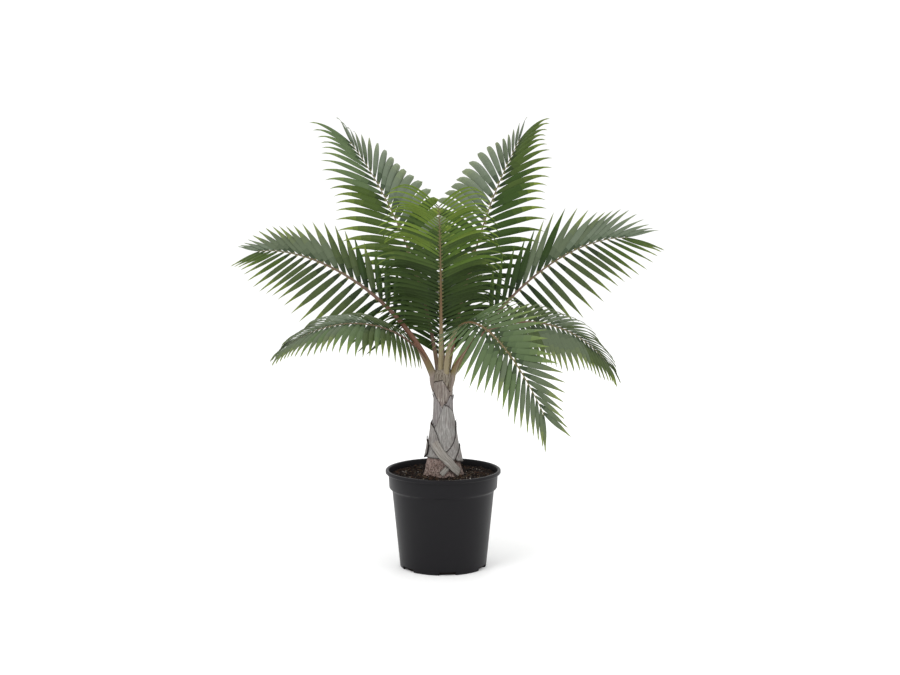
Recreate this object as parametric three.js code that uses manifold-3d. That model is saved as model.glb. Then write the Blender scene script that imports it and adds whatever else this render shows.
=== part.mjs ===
// Potted hurricane palm: nine feather fronds on a short stem wrapped in old leaf sheaths,
// standing in a black nursery pot filled with compost.
// Millimetres, +Z up, +X right, -Y towards the viewer, origin under the middle of the pot.
import * as THREE from "three";
import { mergeVertices } from "three/addons/utils/BufferGeometryUtils.js";
import Module from "manifold-3d";

// Clearance between neighbouring pieces, and the size of the sliver that is smoothed away
const GAP = 0.3;
const TRIM = 0.03;

// Pot: a thin tapered wall with a collar, a rolled lip and drainage slots round its foot
const POT = {
  height: 231,
  wall: 2,
  floor: 2,
  heel: 3,
  baseRadius: 101.5,
  shoulderRadius: 119.5,
  shoulderHeight: 183,
  collarRadius: 126.5,
  collarHeight: 189,
  lipRadius: 135,
  lipHeight: 9,
  segments: 36,
};
const SLOT = { count: 6, width: 40, height: 8, reach: 92, firstAngle: 6 };

// Compost: fills the pot to a little under its lip, flat where the stem stands
const SOIL = {
  top: 219,
  bottom: 2.3,
  clear: 2.9,
  edgeDrop: 1,
  lumpRadii: [112, 92, 72],
  footRadius: 55,
  bump: 2,
  sectors: 24,
};

// Stem: radius against height, from the flat cut at the compost to the crown
const STEM = {
  profile: [
    [219.3, 45],
    [230, 42.5],
    [245, 39.5],
    [262, 36],
    [278, 32.5],
    [305, 28],
    [335, 23.6],
    [375, 21],
    [401, 20.4],
    [430, 22],
    [446, 23.5],
    [456, 22.5],
    [466, 16],
    [471, 6],
  ],
  sides: 20,
  flare: 0.045,
  flareTop: 262,
};

// Old leaf sheaths, from the innermost out: their edges are angle and height round the stem,
// where angle 0 faces the viewer and positive angles turn to the right
const SHEATH = { thickness: 1.8, step: 2.1, flareRun: 10, stations: 28, openStations: 20 };
const SHEATHS = [
  {
    name: "sheath_upper",
    layer: 0,
    flare: 2.2,
    span: [-180, 180],
    top: [
      [-180, 430], [-88, 427], [-56, 409], [-29, 396], [-3, 380], [10, 388], [28, 396], [47, 409],
      [80, 404], [130, 418],
    ],
    bottom: [[-180, 322]],
  },
  {
    name: "sheath_middle",
    layer: 1,
    flare: 0.6,
    span: [-180, 180],
    top: [
      [-180, 296], [-120, 312], [-62, 322], [-38, 339], [-20, 358], [-5, 379], [4, 388], [31, 384],
      [68, 370], [130, 330],
    ],
    bottom: [[-180, 262]],
  },
  {
    name: "sheath_lower",
    layer: 2,
    flare: 2.4,
    span: [-180, 180],
    top: [
      [-180, 362], [-120, 346], [-90, 336], [-67, 342], [-42, 332], [-25, 317], [-12, 297], [10, 278],
      [28, 288], [42, 297], [61, 312], [72, 326], [90, 342], [130, 350],
    ],
    bottom: [[-180, 270], [-90, 286], [-58, 290], [-20, 268], [15, 256], [40, 258], [90, 264]],
  },
  {
    name: "sheath_foot",
    layer: 3,
    flare: 3,
    span: [40, 296],
    top: [
      [40, 260], [50, 270], [70, 282], [91, 292], [135, 284], [180, 280], [230, 292], [268, 304],
      [296, 297],
    ],
    bottom: [[40, 256], [72, 251], [92, 249], [180, 248], [268, 258], [296, 270]],
  },
];

// The torn margins of the lower sheath, which cross over its foot: path, width and lift
const STRAPS = [
  {
    path: [[-34, 300], [-8, 276], [18, 256], [34, 241], [49, 229]],
    width: [22, 21, 21, 21, 20],
    lift: [5.1, 5.8, 6.5, 6.9, 7.4],
  },
  {
    path: [[30, 256], [16, 245], [4, 235], [-6, 227]],
    width: [13, 12, 12, 12],
    lift: [5, 3.4, 3.6, 4.6],
  },
];
const STRAP_THICKNESS = 2.4;
const STRAP_SHEATH = "sheath_lower";

// Fronds: where each leaves the crown, its heading and sway, how it rises and falls, and its leaflets.
// Angles are degrees; bare, tip and split are shares of the frond or of its longest leaflet.
const FROND = {
  pairs: 18,
  leaf: 178,
  width: 20,
  roll: [0, 0],
  vee: 25,
  spread: [62, 14],
  skew: 0,
  ruffle: 3,
  droop: 0.5,
  bare: 0.2,
  tip: 0.55,
  stalk: 16,
};
const FRONDS = [
  {
    name: "frond_centre",
    base: [-5, -6, 463],
    heading: -91,
    sway: -6,
    rise: 98,
    fall: 68,
    bend: 0.95,
    length: 396,
    roll: [-6, 2],
    vee: 8,
    spread: [62, 50],
    skew: -2,
    ruffle: 9,
    droop: 1,
    bare: 0.21,
    tip: 0.85,
    leaf: 158,
    width: 17,
    stalk: 18,
  },
  {
    name: "frond_front",
    base: [7, -13, 457],
    heading: -76,
    sway: 22,
    rise: 101,
    fall: -51,
    bend: 0.51,
    length: 672,
    roll: [-25, -61],
    vee: 0,
    spread: [58, 20],
    skew: -6,
    droop: 0.05,
    bare: 0.25,
    tip: 0.53,
    leaf: 145,
    stalk: 15,
    split: 0.29,
  },
  {
    name: "frond_left",
    base: [-23, -5, 453],
    heading: 163,
    sway: -31,
    rise: 68,
    fall: -8,
    bend: 0.89,
    length: 614,
    roll: [65, 58],
    vee: -17,
    spread: [66, 12],
    skew: 20,
    droop: 0.05,
    bare: 0.28,
    tip: 0.72,
    leaf: 152,
    stalk: 22,
  },
  {
    name: "frond_lower_right",
    base: [21, -9, 451],
    heading: -7,
    sway: 5,
    rise: 86,
    fall: -53,
    bend: 0.75,
    length: 451,
    roll: [-43, -27],
    vee: -11,
    spread: [82, 12],
    skew: -5,
    droop: 0.9,
    bare: 0.29,
    tip: 0.5,
    leaf: 120,
    width: 18,
    pairs: 16,
    stalk: 20,
    split: 0.3,
  },
  {
    name: "frond_upper_left",
    base: [-12, 7, 460],
    heading: 128,
    sway: 7,
    rise: 78,
    fall: 41,
    bend: 0.9,
    length: 624,
    roll: [42, 9],
    vee: -13,
    spread: [73, 15],
    skew: -2,
    droop: 0.55,
    bare: 0.29,
    tip: 0.8,
    leaf: 153,
    pairs: 19,
    stalk: 14,
  },
  {
    name: "frond_upper_right",
    base: [11, 7, 460],
    heading: 62,
    sway: 4,
    rise: 69,
    fall: 33,
    bend: 1.18,
    length: 674,
    roll: [-35, -3],
    vee: -27,
    spread: [73, 9],
    skew: 8,
    droop: 0.49,
    bare: 0.26,
    tip: 0.76,
    leaf: 185,
    pairs: 19,
    stalk: 14,
  },
  {
    name: "frond_right",
    base: [22, 4, 453],
    heading: 34,
    sway: 9,
    rise: 51,
    fall: -4,
    bend: 1.38,
    length: 649,
    roll: [-85, -68],
    vee: -16,
    spread: [59, 11],
    skew: -24,
    droop: 0.11,
    bare: 0.28,
    tip: 0.8,
    leaf: 183,
    stalk: 18,
  },
  {
    name: "frond_lower_left",
    base: [-21, 9, 450],
    heading: 207,
    sway: -22,
    rise: 70,
    fall: -35,
    bend: 0.89,
    length: 410,
    roll: [22, 14],
    vee: 0,
    spread: [82, 12],
    skew: 11,
    droop: 0.95,
    bare: 0.21,
    tip: 0.5,
    leaf: 120,
    width: 18,
    pairs: 16,
    stalk: 16,
    split: 0.46,
  },
  {
    name: "frond_back",
    base: [0, 21, 454],
    heading: 95,
    sway: 0,
    rise: 75,
    fall: -25,
    bend: 1,
    length: 440,
    roll: [0, 0],
    vee: 25,
    spread: [62, 14],
    skew: 0,
    droop: 0.45,
    bare: 0.2,
    tip: 0.6,
    leaf: 150,
    pairs: 17,
    stalk: 17,
    split: 0.5,
  },
];

// Stalk: its width along the frond as a share of its width at the foot, and its depth
const STALK_TAPER = [
  [0, 1],
  [0.12, 0.74],
  [0.35, 0.5],
  [0.7, 0.3],
  [1, 0.16],
];
const STALK = { depth: 0.9, sides: 4, rings: 12, leastWidth: 4.2 };

// Leaflet: where its sections lie along it, its thickness, and what is tried when it would touch a neighbour
const LEAFLET = {
  stations: [0, 2, 5, 8],
  steps: 8,
  thickness: 2.1,
  keel: 1,
  neck: 4,
  root: 0.16,
  offset: 1.2,
  clearance: 0.5,
  shortest: 45,
};
const TRIES = [
  { reach: 1, turn: 0 },
  { reach: 1, turn: 10 },
  { reach: 1, turn: -10 },
  { reach: 0.82, turn: 0 },
  { reach: 0.82, turn: 12 },
  { reach: 0.82, turn: -12 },
  { reach: 0.62, turn: 0 },
  { reach: 0.62, turn: 16 },
];

const MATERIALS = {
  pot: new THREE.MeshStandardMaterial({ color: 0x2b2b2e, roughness: 0.5, metalness: 0 }),
  soil: new THREE.MeshStandardMaterial({ color: 0x1d1512, roughness: 1, metalness: 0 }),
  stem: new THREE.MeshStandardMaterial({ color: 0x8a7a74, roughness: 0.9, metalness: 0 }),
  sheath: new THREE.MeshStandardMaterial({ color: 0xa19d99, roughness: 0.85, metalness: 0 }),
  frond: new THREE.MeshStandardMaterial({ color: 0x4f6b4a, roughness: 0.55, metalness: 0 }),
  youngFrond: new THREE.MeshStandardMaterial({ color: 0x6b8a34, roughness: 0.5, metalness: 0 }),
};

const rad = THREE.MathUtils.degToRad;
const lerp = THREE.MathUtils.lerp;
const DOWN = new THREE.Vector3(0, 0, -1);

const wasm = await Module();
wasm.setup();

// Solids

// The solid inside a closed geometry, with its faces turned outwards.
function solidOf(geometry) {
  const bare = new THREE.BufferGeometry();
  bare.setAttribute("position", geometry.getAttribute("position"));
  bare.setIndex(geometry.index);
  const merged = mergeVertices(bare, 1e-3);
  const corners = [];
  const index = merged.index.array;
  for (let i = 0; i < index.length; i += 3) {
    const [a, b, c] = [index[i], index[i + 1], index[i + 2]];
    if (a !== b && b !== c && c !== a) corners.push(a, b, c);
  }
  const vertProperties = new Float32Array(merged.getAttribute("position").array);
  const make = (triVerts) =>
    new wasm.Manifold(new wasm.Mesh({ numProp: 3, vertProperties, triVerts: new Uint32Array(triVerts) }));
  const solid = make(corners);
  return solid.volume() > 0 ? solid : make(corners.reverse());
}

// The largest body of a solid: scraps and sealed hollows are left out.
function mainBody(solid) {
  return solid.decompose().reduce((best, body) => (body.volume() > best.volume() ? body : best));
}

function meshOf(name, solid, material) {
  const data = solid.getMesh();
  const positions = new Float32Array(data.numVert * 3);
  for (let i = 0; i < data.numVert; i += 1) {
    positions.set(data.vertProperties.subarray(i * data.numProp, i * data.numProp + 3), i * 3);
  }
  const geometry = new THREE.BufferGeometry();
  geometry.setAttribute("position", new THREE.BufferAttribute(positions, 3));
  geometry.setIndex(new THREE.BufferAttribute(new Uint32Array(data.triVerts), 1));
  geometry.computeVertexNormals();
  const mesh = new THREE.Mesh(geometry, material);
  mesh.name = name;
  return mesh;
}

// A closed skin over rings of points. A ring of one point is a tip, the end rings are capped,
// and with loop the last ring joins the first instead.
function skin(rings, loop = false) {
  const positions = rings.flat().flatMap((point) => point.toArray());
  const starts = [];
  rings.reduce((start, ring) => (starts.push(start), start + ring.length), 0);
  const index = [];
  const bands = loop ? rings.length : rings.length - 1;
  for (let r = 0; r < bands; r += 1) {
    const next = (r + 1) % rings.length;
    const [a, b] = [starts[r], starts[next]];
    const [m, n] = [rings[r].length, rings[next].length];
    for (let i = 0; i < Math.max(m, n); i += 1) {
      const j = (i + 1) % Math.max(m, n);
      if (m > 1) index.push(a + i, a + j, b + (n > 1 ? j : 0));
      if (n > 1) index.push(a + (m > 1 ? i : 0), b + j, b + i);
    }
  }
  if (!loop) {
    const last = rings.length - 1;
    for (let i = 1; i < rings[0].length - 1; i += 1) index.push(starts[0], starts[0] + i + 1, starts[0] + i);
    for (let i = 1; i < rings[last].length - 1; i += 1) {
      index.push(starts[last], starts[last] + i, starts[last] + i + 1);
    }
  }
  const geometry = new THREE.BufferGeometry();
  geometry.setAttribute("position", new THREE.Float32BufferAttribute(positions, 3));
  geometry.setIndex(index);
  return geometry;
}

// The value at x of a table of [x, value] pairs, straight between them.
function interpolate(table, x) {
  const next = table.findIndex(([at]) => at >= x);
  if (next === 0) return table[0][1];
  if (next < 0) return table.at(-1)[1];
  const [[x0, y0], [x1, y1]] = [table[next - 1], table[next]];
  return lerp(y0, y1, (x - x0) / (x1 - x0));
}

// A repeatable number between -1 and 1 for one leaflet or lump.
function wobble(seed, item, channel) {
  return Math.sin(seed * 1.7 + item * 12.9898 + channel * 78.233);
}

// Pot

function potSolid() {
  const { wall, floor, heel, baseRadius, shoulderRadius, shoulderHeight } = POT;
  const { height, collarRadius, collarHeight, lipRadius, lipHeight } = POT;
  const lipFoot = height - lipHeight;
  const lipInner = collarRadius + 1;
  const lipMiddle = (lipRadius + lipInner) / 2;
  const profile = [
    [0, 0],
    [baseRadius - heel, 0],
    [baseRadius, heel],
    [shoulderRadius, shoulderHeight],
    [collarRadius, collarHeight],
    [collarRadius + 2, lipFoot],
    [lipRadius - 1.5, lipFoot],
    [lipRadius, lipFoot + 2.5],
    [lipRadius, height - 3],
    [lipRadius - 1.6, height - 0.7],
    [lipMiddle, height],
    [lipInner, height - 1.6],
    [collarRadius, lipFoot],
    [collarRadius - wall, collarHeight + wall],
    [shoulderRadius - wall, shoulderHeight + wall],
    [baseRadius - wall, floor + heel],
    [baseRadius - wall - heel, floor],
    [0, floor],
  ];
  const lathe = new THREE.LatheGeometry(
    profile.map(([radius, z]) => new THREE.Vector2(radius, z)),
    POT.segments,
  );
  lathe.rotateX(Math.PI / 2);
  let pot = solidOf(lathe);
  const depth = shoulderRadius - SLOT.reach;
  for (let i = 0; i < SLOT.count; i += 1) {
    const slot = new THREE.BoxGeometry(SLOT.width, depth, SLOT.height * 2);
    slot.translate(0, -SLOT.reach - depth / 2, 0);
    slot.rotateZ(rad(SLOT.firstAngle) + (i * 2 * Math.PI) / SLOT.count);
    pot = pot.subtract(solidOf(slot));
  }
  return pot;
}

// Compost

function soilSolid() {
  const { top, bottom, clear, edgeDrop, lumpRadii, footRadius, bump, sectors } = SOIL;
  const { wall, heel, baseRadius, shoulderRadius, shoulderHeight, collarRadius, collarHeight } = POT;
  const ring = (radius, height, lumps) =>
    Array.from({ length: sectors }, (_, i) => {
      const angle = (i / sectors) * 2 * Math.PI;
      const lump = lumps * wobble(radius, i, 1);
      return new THREE.Vector3(radius * Math.cos(angle), radius * Math.sin(angle), height + lump);
    });
  const rings = [
    [new THREE.Vector3(0, 0, bottom)],
    ring(baseRadius - clear - heel, bottom, 0),
    ring(baseRadius - clear, bottom + heel, 0),
    ring(shoulderRadius - clear, shoulderHeight + clear, 0),
    ring(collarRadius - clear - edgeDrop, collarHeight + clear, 0),
    ring(collarRadius - clear, top - edgeDrop, 0),
    ...lumpRadii.map((radius) => ring(radius, top, bump)),
    ring(footRadius, top, 0),
    [new THREE.Vector3(0, 0, top)],
  ];
  return solidOf(skin(rings));
}

// Stem and its old leaf sheaths

// A point round the stem: angle from the front in degrees, height, and distance out of its surface.
function onStem(angle, height, lift) {
  const radius = interpolate(STEM.profile, height) + lift;
  return new THREE.Vector3(radius * Math.sin(rad(angle)), -radius * Math.cos(rad(angle)), height);
}

function stemSolid(grow = 0) {
  const foot = STEM.profile[0][0];
  const ring = ([height]) => {
    const low = Math.max(0, (STEM.flareTop - height) / (STEM.flareTop - foot));
    return Array.from({ length: STEM.sides }, (_, i) => {
      const angle = (i / STEM.sides) * 360;
      const root = STEM.flare * low * low * (1 + Math.sin(rad(angle * 5 + 40)));
      return onStem(angle, height, grow + root * STEM.profile[0][1]);
    });
  };
  const rings = STEM.profile.map(ring);
  const top = STEM.profile.at(-1)[0] + 1 + grow;
  return solidOf(skin([...rings, [new THREE.Vector3(0, 0, top)]]));
}

// The height of a sheath's edge at an angle, taken round the stem where the sheath closes on itself.
function edgeHeight(edge, angle, closed) {
  return interpolate(closed ? [...edge, [180, edge[0][1]]] : edge, angle);
}

function sheathSolid({ layer, flare, span, top, bottom }) {
  const closed = span[1] - span[0] === 360;
  const stations = closed ? SHEATH.stations : SHEATH.openStations;
  const lowest = Math.min(...top.map(([, height]) => height));
  const highest = Math.max(...top.map(([, height]) => height));
  const lift = GAP + layer * SHEATH.step;
  const rings = [];
  for (let i = 0; i < stations + (closed ? 0 : 1); i += 1) {
    const angle = lerp(span[0], span[1], i / stations);
    const high = edgeHeight(top, angle, closed);
    const low = edgeHeight(bottom, angle, closed);
    const open = flare * ((high - lowest) / (highest - lowest)) ** 2;
    const bends = STEM.profile.map(([height]) => height).filter((z) => z < highest - SHEATH.flareRun);
    const shoulder = Math.max(low, high - SHEATH.flareRun);
    const heights = [low, ...bends.map((z) => THREE.MathUtils.clamp(z, low, shoulder)), shoulder, high];
    const peel = heights.map((z) => (z > shoulder ? open : 0));
    const outer = heights.map((z, k) => onStem(angle, z, lift + peel[k] + SHEATH.thickness));
    const inner = heights.map((z, k) => onStem(angle, z, lift + peel[k]));
    rings.push([...outer, ...inner.reverse()]);
  }
  return solidOf(skin(rings, closed));
}

// A torn margin laid round the stem: three places across, outside and inside, at each point of its path.
function strapSolid({ path, width, lift }) {
  const rings = path.map(([angle, height], i) => {
    const before = path[Math.max(0, i - 1)];
    const after = path[Math.min(path.length - 1, i + 1)];
    const radius = interpolate(STEM.profile, height) + lift[i];
    const run = rad(after[0] - before[0]) * radius;
    const climb = after[1] - before[1];
    const length = Math.hypot(run, climb);
    const at = (side, out) => {
      const half = (side * width[i]) / 2;
      const turn = THREE.MathUtils.radToDeg((-climb / length) * (half / radius));
      return onStem(angle + turn, height + (run / length) * half, lift[i] + out);
    };
    const sides = [-1, 0, 1];
    const outer = sides.map((side) => at(side, STRAP_THICKNESS));
    const inner = sides.map((side) => at(side, 0));
    return [...outer, ...inner.reverse()];
  });
  return solidOf(skin(rings));
}

// Fronds

// The middle line of a frond: its place, direction, right-hand side and upper side at a share of its length.
function rachisOf(frond) {
  const steps = 64;
  const heading = (x) => rad(frond.heading + frond.sway * x ** 1.5);
  const direction = (x) => {
    const climb = rad(lerp(frond.rise, frond.fall, x ** frond.bend));
    const angle = heading(x);
    return new THREE.Vector3(
      Math.cos(climb) * Math.cos(angle),
      Math.cos(climb) * Math.sin(angle),
      Math.sin(climb),
    );
  };
  const points = [new THREE.Vector3(...frond.base)];
  for (let i = 1; i <= steps; i += 1) {
    const step = direction((i - 1) / steps).add(direction(i / steps));
    points.push(points.at(-1).clone().addScaledVector(step, frond.length / steps / 2));
  }
  return (x) => {
    const k = Math.min(steps - 1, Math.floor(x * steps));
    const point = points[k].clone().lerp(points[k + 1], x * steps - k);
    const along = direction(x);
    const angle = heading(x);
    const right = new THREE.Vector3(Math.sin(angle), -Math.cos(angle), 0);
    right.addScaledVector(along, -right.dot(along)).normalize();
    const up = new THREE.Vector3().crossVectors(right, along);
    const leafShare = Math.max(0, (x - frond.bare) / (1 - frond.bare));
    const roll = rad(lerp(frond.roll[0], frond.roll[1], leafShare));
    const across = right.clone().multiplyScalar(Math.cos(roll)).addScaledVector(up, Math.sin(roll));
    const over = up.clone().multiplyScalar(Math.cos(roll)).addScaledVector(right, -Math.sin(roll));
    return { point, along, across, over };
  };
}

// The stalk between two shares of the frond's length, with grow more on each side.
function stalkSolid(frond, rachis, from, to, grow = 0) {
  const rings = [];
  for (let i = 0; i <= STALK.rings; i += 1) {
    const x = lerp(from, to, (i / STALK.rings) ** 1.15);
    const { point, across, over } = rachis(x);
    const width = Math.max(STALK.leastWidth, frond.stalk * interpolate(STALK_TAPER, x)) + 2 * grow;
    rings.push(
      Array.from({ length: STALK.sides }, (_, k) => {
        const turn = ((k + 0.5) / STALK.sides) * 2 * Math.PI;
        return point
          .clone()
          .addScaledVector(across, (Math.cos(turn) * width) / 2)
          .addScaledVector(over, (Math.sin(turn) * width * STALK.depth) / 2);
      }),
    );
  }
  return solidOf(skin(rings));
}

// A leaflet: three-sided sections along a drooping line, wide and flat below with a raised rib on top.
function leafletSolid(frond, seed, rachis, place, attempt, grow) {
  const { share, side, item } = place;
  const { point, along, across, over } = rachis(place.x);
  const uneven = frond.skew * side * (1 - share ** 2);
  const open = lerp(frond.spread[0], frond.spread[1], share ** 1.2) - uneven;
  const spread = rad(open + 2 * wobble(seed, item, 1));
  const lift = rad(frond.vee * (1 - 0.5 * share) + frond.ruffle * wobble(seed, item, 2) + attempt.turn);
  const outward = across
    .clone()
    .multiplyScalar(side * Math.cos(lift))
    .addScaledVector(over, Math.sin(lift));
  const start = along.clone().multiplyScalar(Math.cos(spread)).addScaledVector(outward, Math.sin(spread));
  const swell = 0.7 + 0.3 * Math.sin(Math.PI * share ** 0.75);
  const fade = 1 - (1 - frond.tip / 0.7) * share ** 3;
  const length = frond.leaf * swell * fade * (1 + 0.05 * wobble(seed, item, 3)) * attempt.reach;
  const sag = frond.droop * (1 + 0.2 * wobble(seed, item, 4));
  const fullWidth = frond.width * (0.55 + 0.45 * Math.sin(Math.PI * Math.min(1, share + 0.1)));
  const pull = (u) => start.clone().addScaledVector(DOWN, sag * (0.35 * u + u ** 4)).normalize();
  const rings = [];
  const centre = point.clone().addScaledVector(across, side * LEAFLET.offset);
  for (let k = 0; k <= LEAFLET.steps; k += 1) {
    const u = k / LEAFLET.steps;
    const heading = pull(u);
    if (k > 0) {
      const step = pull((k - 1) / LEAFLET.steps).add(heading);
      centre.addScaledVector(step, length / LEAFLET.steps / 2);
    }
    if (!LEAFLET.stations.includes(k)) continue;
    if (k === LEAFLET.steps) {
      rings.push([centre.clone().addScaledVector(heading, grow)]);
      continue;
    }
    const edge = along.clone().addScaledVector(heading, -along.dot(heading)).normalize();
    const face = new THREE.Vector3().crossVectors(heading, edge).multiplyScalar(side);
    const swollen = Math.sin(Math.PI * (0.94 * u) ** 0.85) * (1 - u ** 5);
    const belly = LEAFLET.root * (1 - u) + (1 - LEAFLET.root) * swollen;
    const half = Math.max(LEAFLET.neck, fullWidth * belly) / 2 + grow;
    rings.push([
      centre.clone().addScaledVector(edge, -half).addScaledVector(face, -LEAFLET.keel - grow),
      centre.clone().addScaledVector(edge, half).addScaledVector(face, -LEAFLET.keel - grow),
      centre.clone().addScaledVector(face, LEAFLET.thickness - LEAFLET.keel + grow),
    ]);
  }
  return { solid: solidOf(skin(rings)), length };
}

// The places of a frond's leaflets: pairs from its bare foot to its end.
function leafletPlaces(frond) {
  const places = [];
  for (let i = 0; i < frond.pairs; i += 1) {
    for (const side of [1, -1]) {
      const step = i / (frond.pairs - 1) + (side * 0.25) / frond.pairs;
      const share = THREE.MathUtils.clamp(step, 0, 1);
      const x = lerp(frond.bare, 1, share);
      places.push({ share, side, x: Math.min(x, 0.997), item: i * 2 + (side > 0 ? 0 : 1) });
    }
  }
  return places;
}

function apart(a, b) {
  return [0, 1, 2].some((k) => a.max[k] < b.min[k] || b.max[k] < a.min[k]);
}

// Solids already standing, each with the node that it belongs to.
class Space {
  constructor() {
    this.taken = [];
  }

  add(node, solid) {
    this.taken.push({ node, solid, box: solid.boundingBox() });
  }

  // Whether a solid meets anything of another node.
  isFree(node, solid) {
    const box = solid.boundingBox();
    return this.taken.every(
      (other) => other.node === node || apart(box, other.box) || solid.intersect(other.solid).isEmpty(),
    );
  }
}

// One frond's leaflets, each tried a few ways and left out where it still would touch.
function growLeaflets(frond, seed, rachis, pieces, space) {
  for (const place of leafletPlaces(frond)) {
    const piece = pieces.find(({ to }) => place.x <= to);
    for (const attempt of TRIES) {
      const guard = leafletSolid(frond, seed, rachis, place, attempt, LEAFLET.clearance);
      if (guard.length < LEAFLET.shortest && attempt.reach < 1) break;
      if (!space.isFree(piece.name, guard.solid)) continue;
      const { solid } = leafletSolid(frond, seed, rachis, place, attempt, 0);
      space.add(piece.name, solid);
      piece.leaflets.push(solid);
      break;
    }
  }
}

// Assembly

const group = new THREE.Group();
const space = new Space();

function place(name, whole, material) {
  const solid = whole.asOriginal().simplify(TRIM);
  group.add(meshOf(name, solid, material));
  space.add(name, solid);
}

place("pot", potSolid(), MATERIALS.pot);
place("soil", soilSolid(), MATERIALS.soil);
place("trunk", stemSolid(), MATERIALS.stem);
for (const sheath of SHEATHS) {
  const straps = sheath.name === STRAP_SHEATH ? STRAPS.map(strapSolid) : [];
  const solid = wasm.Manifold.union([sheathSolid(sheath), ...straps]);
  place(sheath.name, solid, MATERIALS.sheath);
}

// Stalks come first, each cut back from the stem and from those before it.
const fronds = FRONDS.map((row, i) => {
  const frond = { ...FROND, ...row };
  return { frond, seed: i + 1, rachis: rachisOf(frond) };
});
const cutters = [stemSolid(GAP)];
for (const entry of fronds) {
  const { frond, rachis } = entry;
  const spans = frond.split
    ? [
        ["_inner", 0, frond.split],
        ["_outer", frond.split + GAP / frond.length, 1],
      ]
    : [["", 0, 1]];
  entry.pieces = spans.map(([ending, from, to]) => {
    const whole = stalkSolid(frond, rachis, from, to);
    const stalk = mainBody(cutters.reduce((rest, cutter) => rest.subtract(cutter), whole));
    const name = frond.name + ending;
    space.add(name, stalk);
    return { name, to, stalk, leaflets: [] };
  });
  cutters.push(...spans.map(([, from, to]) => stalkSolid(frond, rachis, from, to, GAP)));
}
for (const { frond, seed, rachis, pieces } of fronds) {
  growLeaflets(frond, seed, rachis, pieces, space);
  const material = frond.name === "frond_centre" ? MATERIALS.youngFrond : MATERIALS.frond;
  for (const { name, stalk, leaflets } of pieces) {
    const whole = wasm.Manifold.union([stalk, ...leaflets]).asOriginal().simplify(TRIM);
    group.add(meshOf(name, mainBody(whole), material));
  }
}

export default group;
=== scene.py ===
"""Potted hurricane palm: the looks of the plant, its pot and its compost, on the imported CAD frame.

Metres, +Z up, +X right, -Y towards the viewer, origin under the middle of the pot. A frond's line
and its leaflets' places and reach follow the solids' own rule, with more and finer leaflets.
"""

import logging
import math
from dataclasses import dataclass, field
from enum import Enum
from functools import cache

import bpy
import numpy as np
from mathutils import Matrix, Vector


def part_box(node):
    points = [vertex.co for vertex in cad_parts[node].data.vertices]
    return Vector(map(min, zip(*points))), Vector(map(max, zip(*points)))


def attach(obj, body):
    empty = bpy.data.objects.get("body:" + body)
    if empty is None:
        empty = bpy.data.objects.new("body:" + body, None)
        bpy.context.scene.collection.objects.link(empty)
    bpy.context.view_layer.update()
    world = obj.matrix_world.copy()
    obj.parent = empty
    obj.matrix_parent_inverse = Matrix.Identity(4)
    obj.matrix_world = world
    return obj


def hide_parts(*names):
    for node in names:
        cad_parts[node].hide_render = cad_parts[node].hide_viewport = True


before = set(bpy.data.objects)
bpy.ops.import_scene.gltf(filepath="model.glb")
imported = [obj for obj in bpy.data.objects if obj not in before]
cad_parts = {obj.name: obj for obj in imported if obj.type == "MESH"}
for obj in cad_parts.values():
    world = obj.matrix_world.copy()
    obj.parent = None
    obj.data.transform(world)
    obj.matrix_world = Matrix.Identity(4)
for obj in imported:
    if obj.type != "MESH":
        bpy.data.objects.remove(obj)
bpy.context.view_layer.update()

LOG = logging.getLogger("palm")
BODY = "root"

Colour = tuple[int, int, int]
Pair = tuple[float, float]
Triple = tuple[float, float, float]
Table = tuple[Pair, ...]
DOWN = np.array([0.0, 0.0, -1.0])


# Numbers and noise


def linear(colour: Colour) -> tuple[float, float, float, float]:
    """Turns screen values into linear light: share / 12.92 low down, else ((share + 0.055) / 1.055)^2.4.

    Args:
        colour: Red, green and blue from 0 to 255.

    Returns:
        Linear red, green and blue, and 1 for alpha.
    """
    share = np.asarray(colour) / 255
    light = np.where(share <= 0.04045, share / 12.92, ((share + 0.055) / 1.055) ** 2.4)
    return (*light.tolist(), 1.0)


def blend(first: Colour, second: Colour, share: float) -> Colour:
    """Mixes two colours by screen values."""
    mixed = np.asarray(first) * (1 - share) + np.asarray(second) * share
    return tuple(int(round(value)) for value in mixed)


def table_at(table: Table, x: np.ndarray) -> np.ndarray:
    """Reads a table of (x, value) pairs at x, straight between its rows."""
    places, values = zip(*table)
    return np.interp(x, places, values)


def unit(vectors: np.ndarray) -> np.ndarray:
    """Scales vectors on the last axis to length 1."""
    return vectors / np.linalg.norm(vectors, axis=-1, keepdims=True)


def wobble(seed: int, item: np.ndarray, channel: int) -> np.ndarray:
    """Gives a repeatable number between -1 and 1 for each leaflet."""
    return np.sin(seed * 1.7 + item * 12.9898 + channel * 78.233)


def ripples(points: np.ndarray, wavelength: float, seed: int, waves: int = 14) -> np.ndarray:
    """Sums plane waves in seeded directions: each is sin(k . p + phase), and the sum is about -1 to 1.

    Args:
        points: Places, three numbers each on the last axis.
        wavelength: The mean length of a wave.
        seed: Chooses the directions and phases.
        waves: How many waves are summed.

    Returns:
        One number for each place.
    """
    rng = np.random.default_rng(seed)
    lengths = wavelength * rng.uniform(0.6, 1.6, waves)
    directions = unit(rng.normal(size=(waves, 3))) * (2 * np.pi / lengths)[:, None]
    phases = rng.uniform(0, 2 * np.pi, waves)
    return np.sin(points @ directions.T + phases).sum(axis=-1) / math.sqrt(waves)


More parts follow.
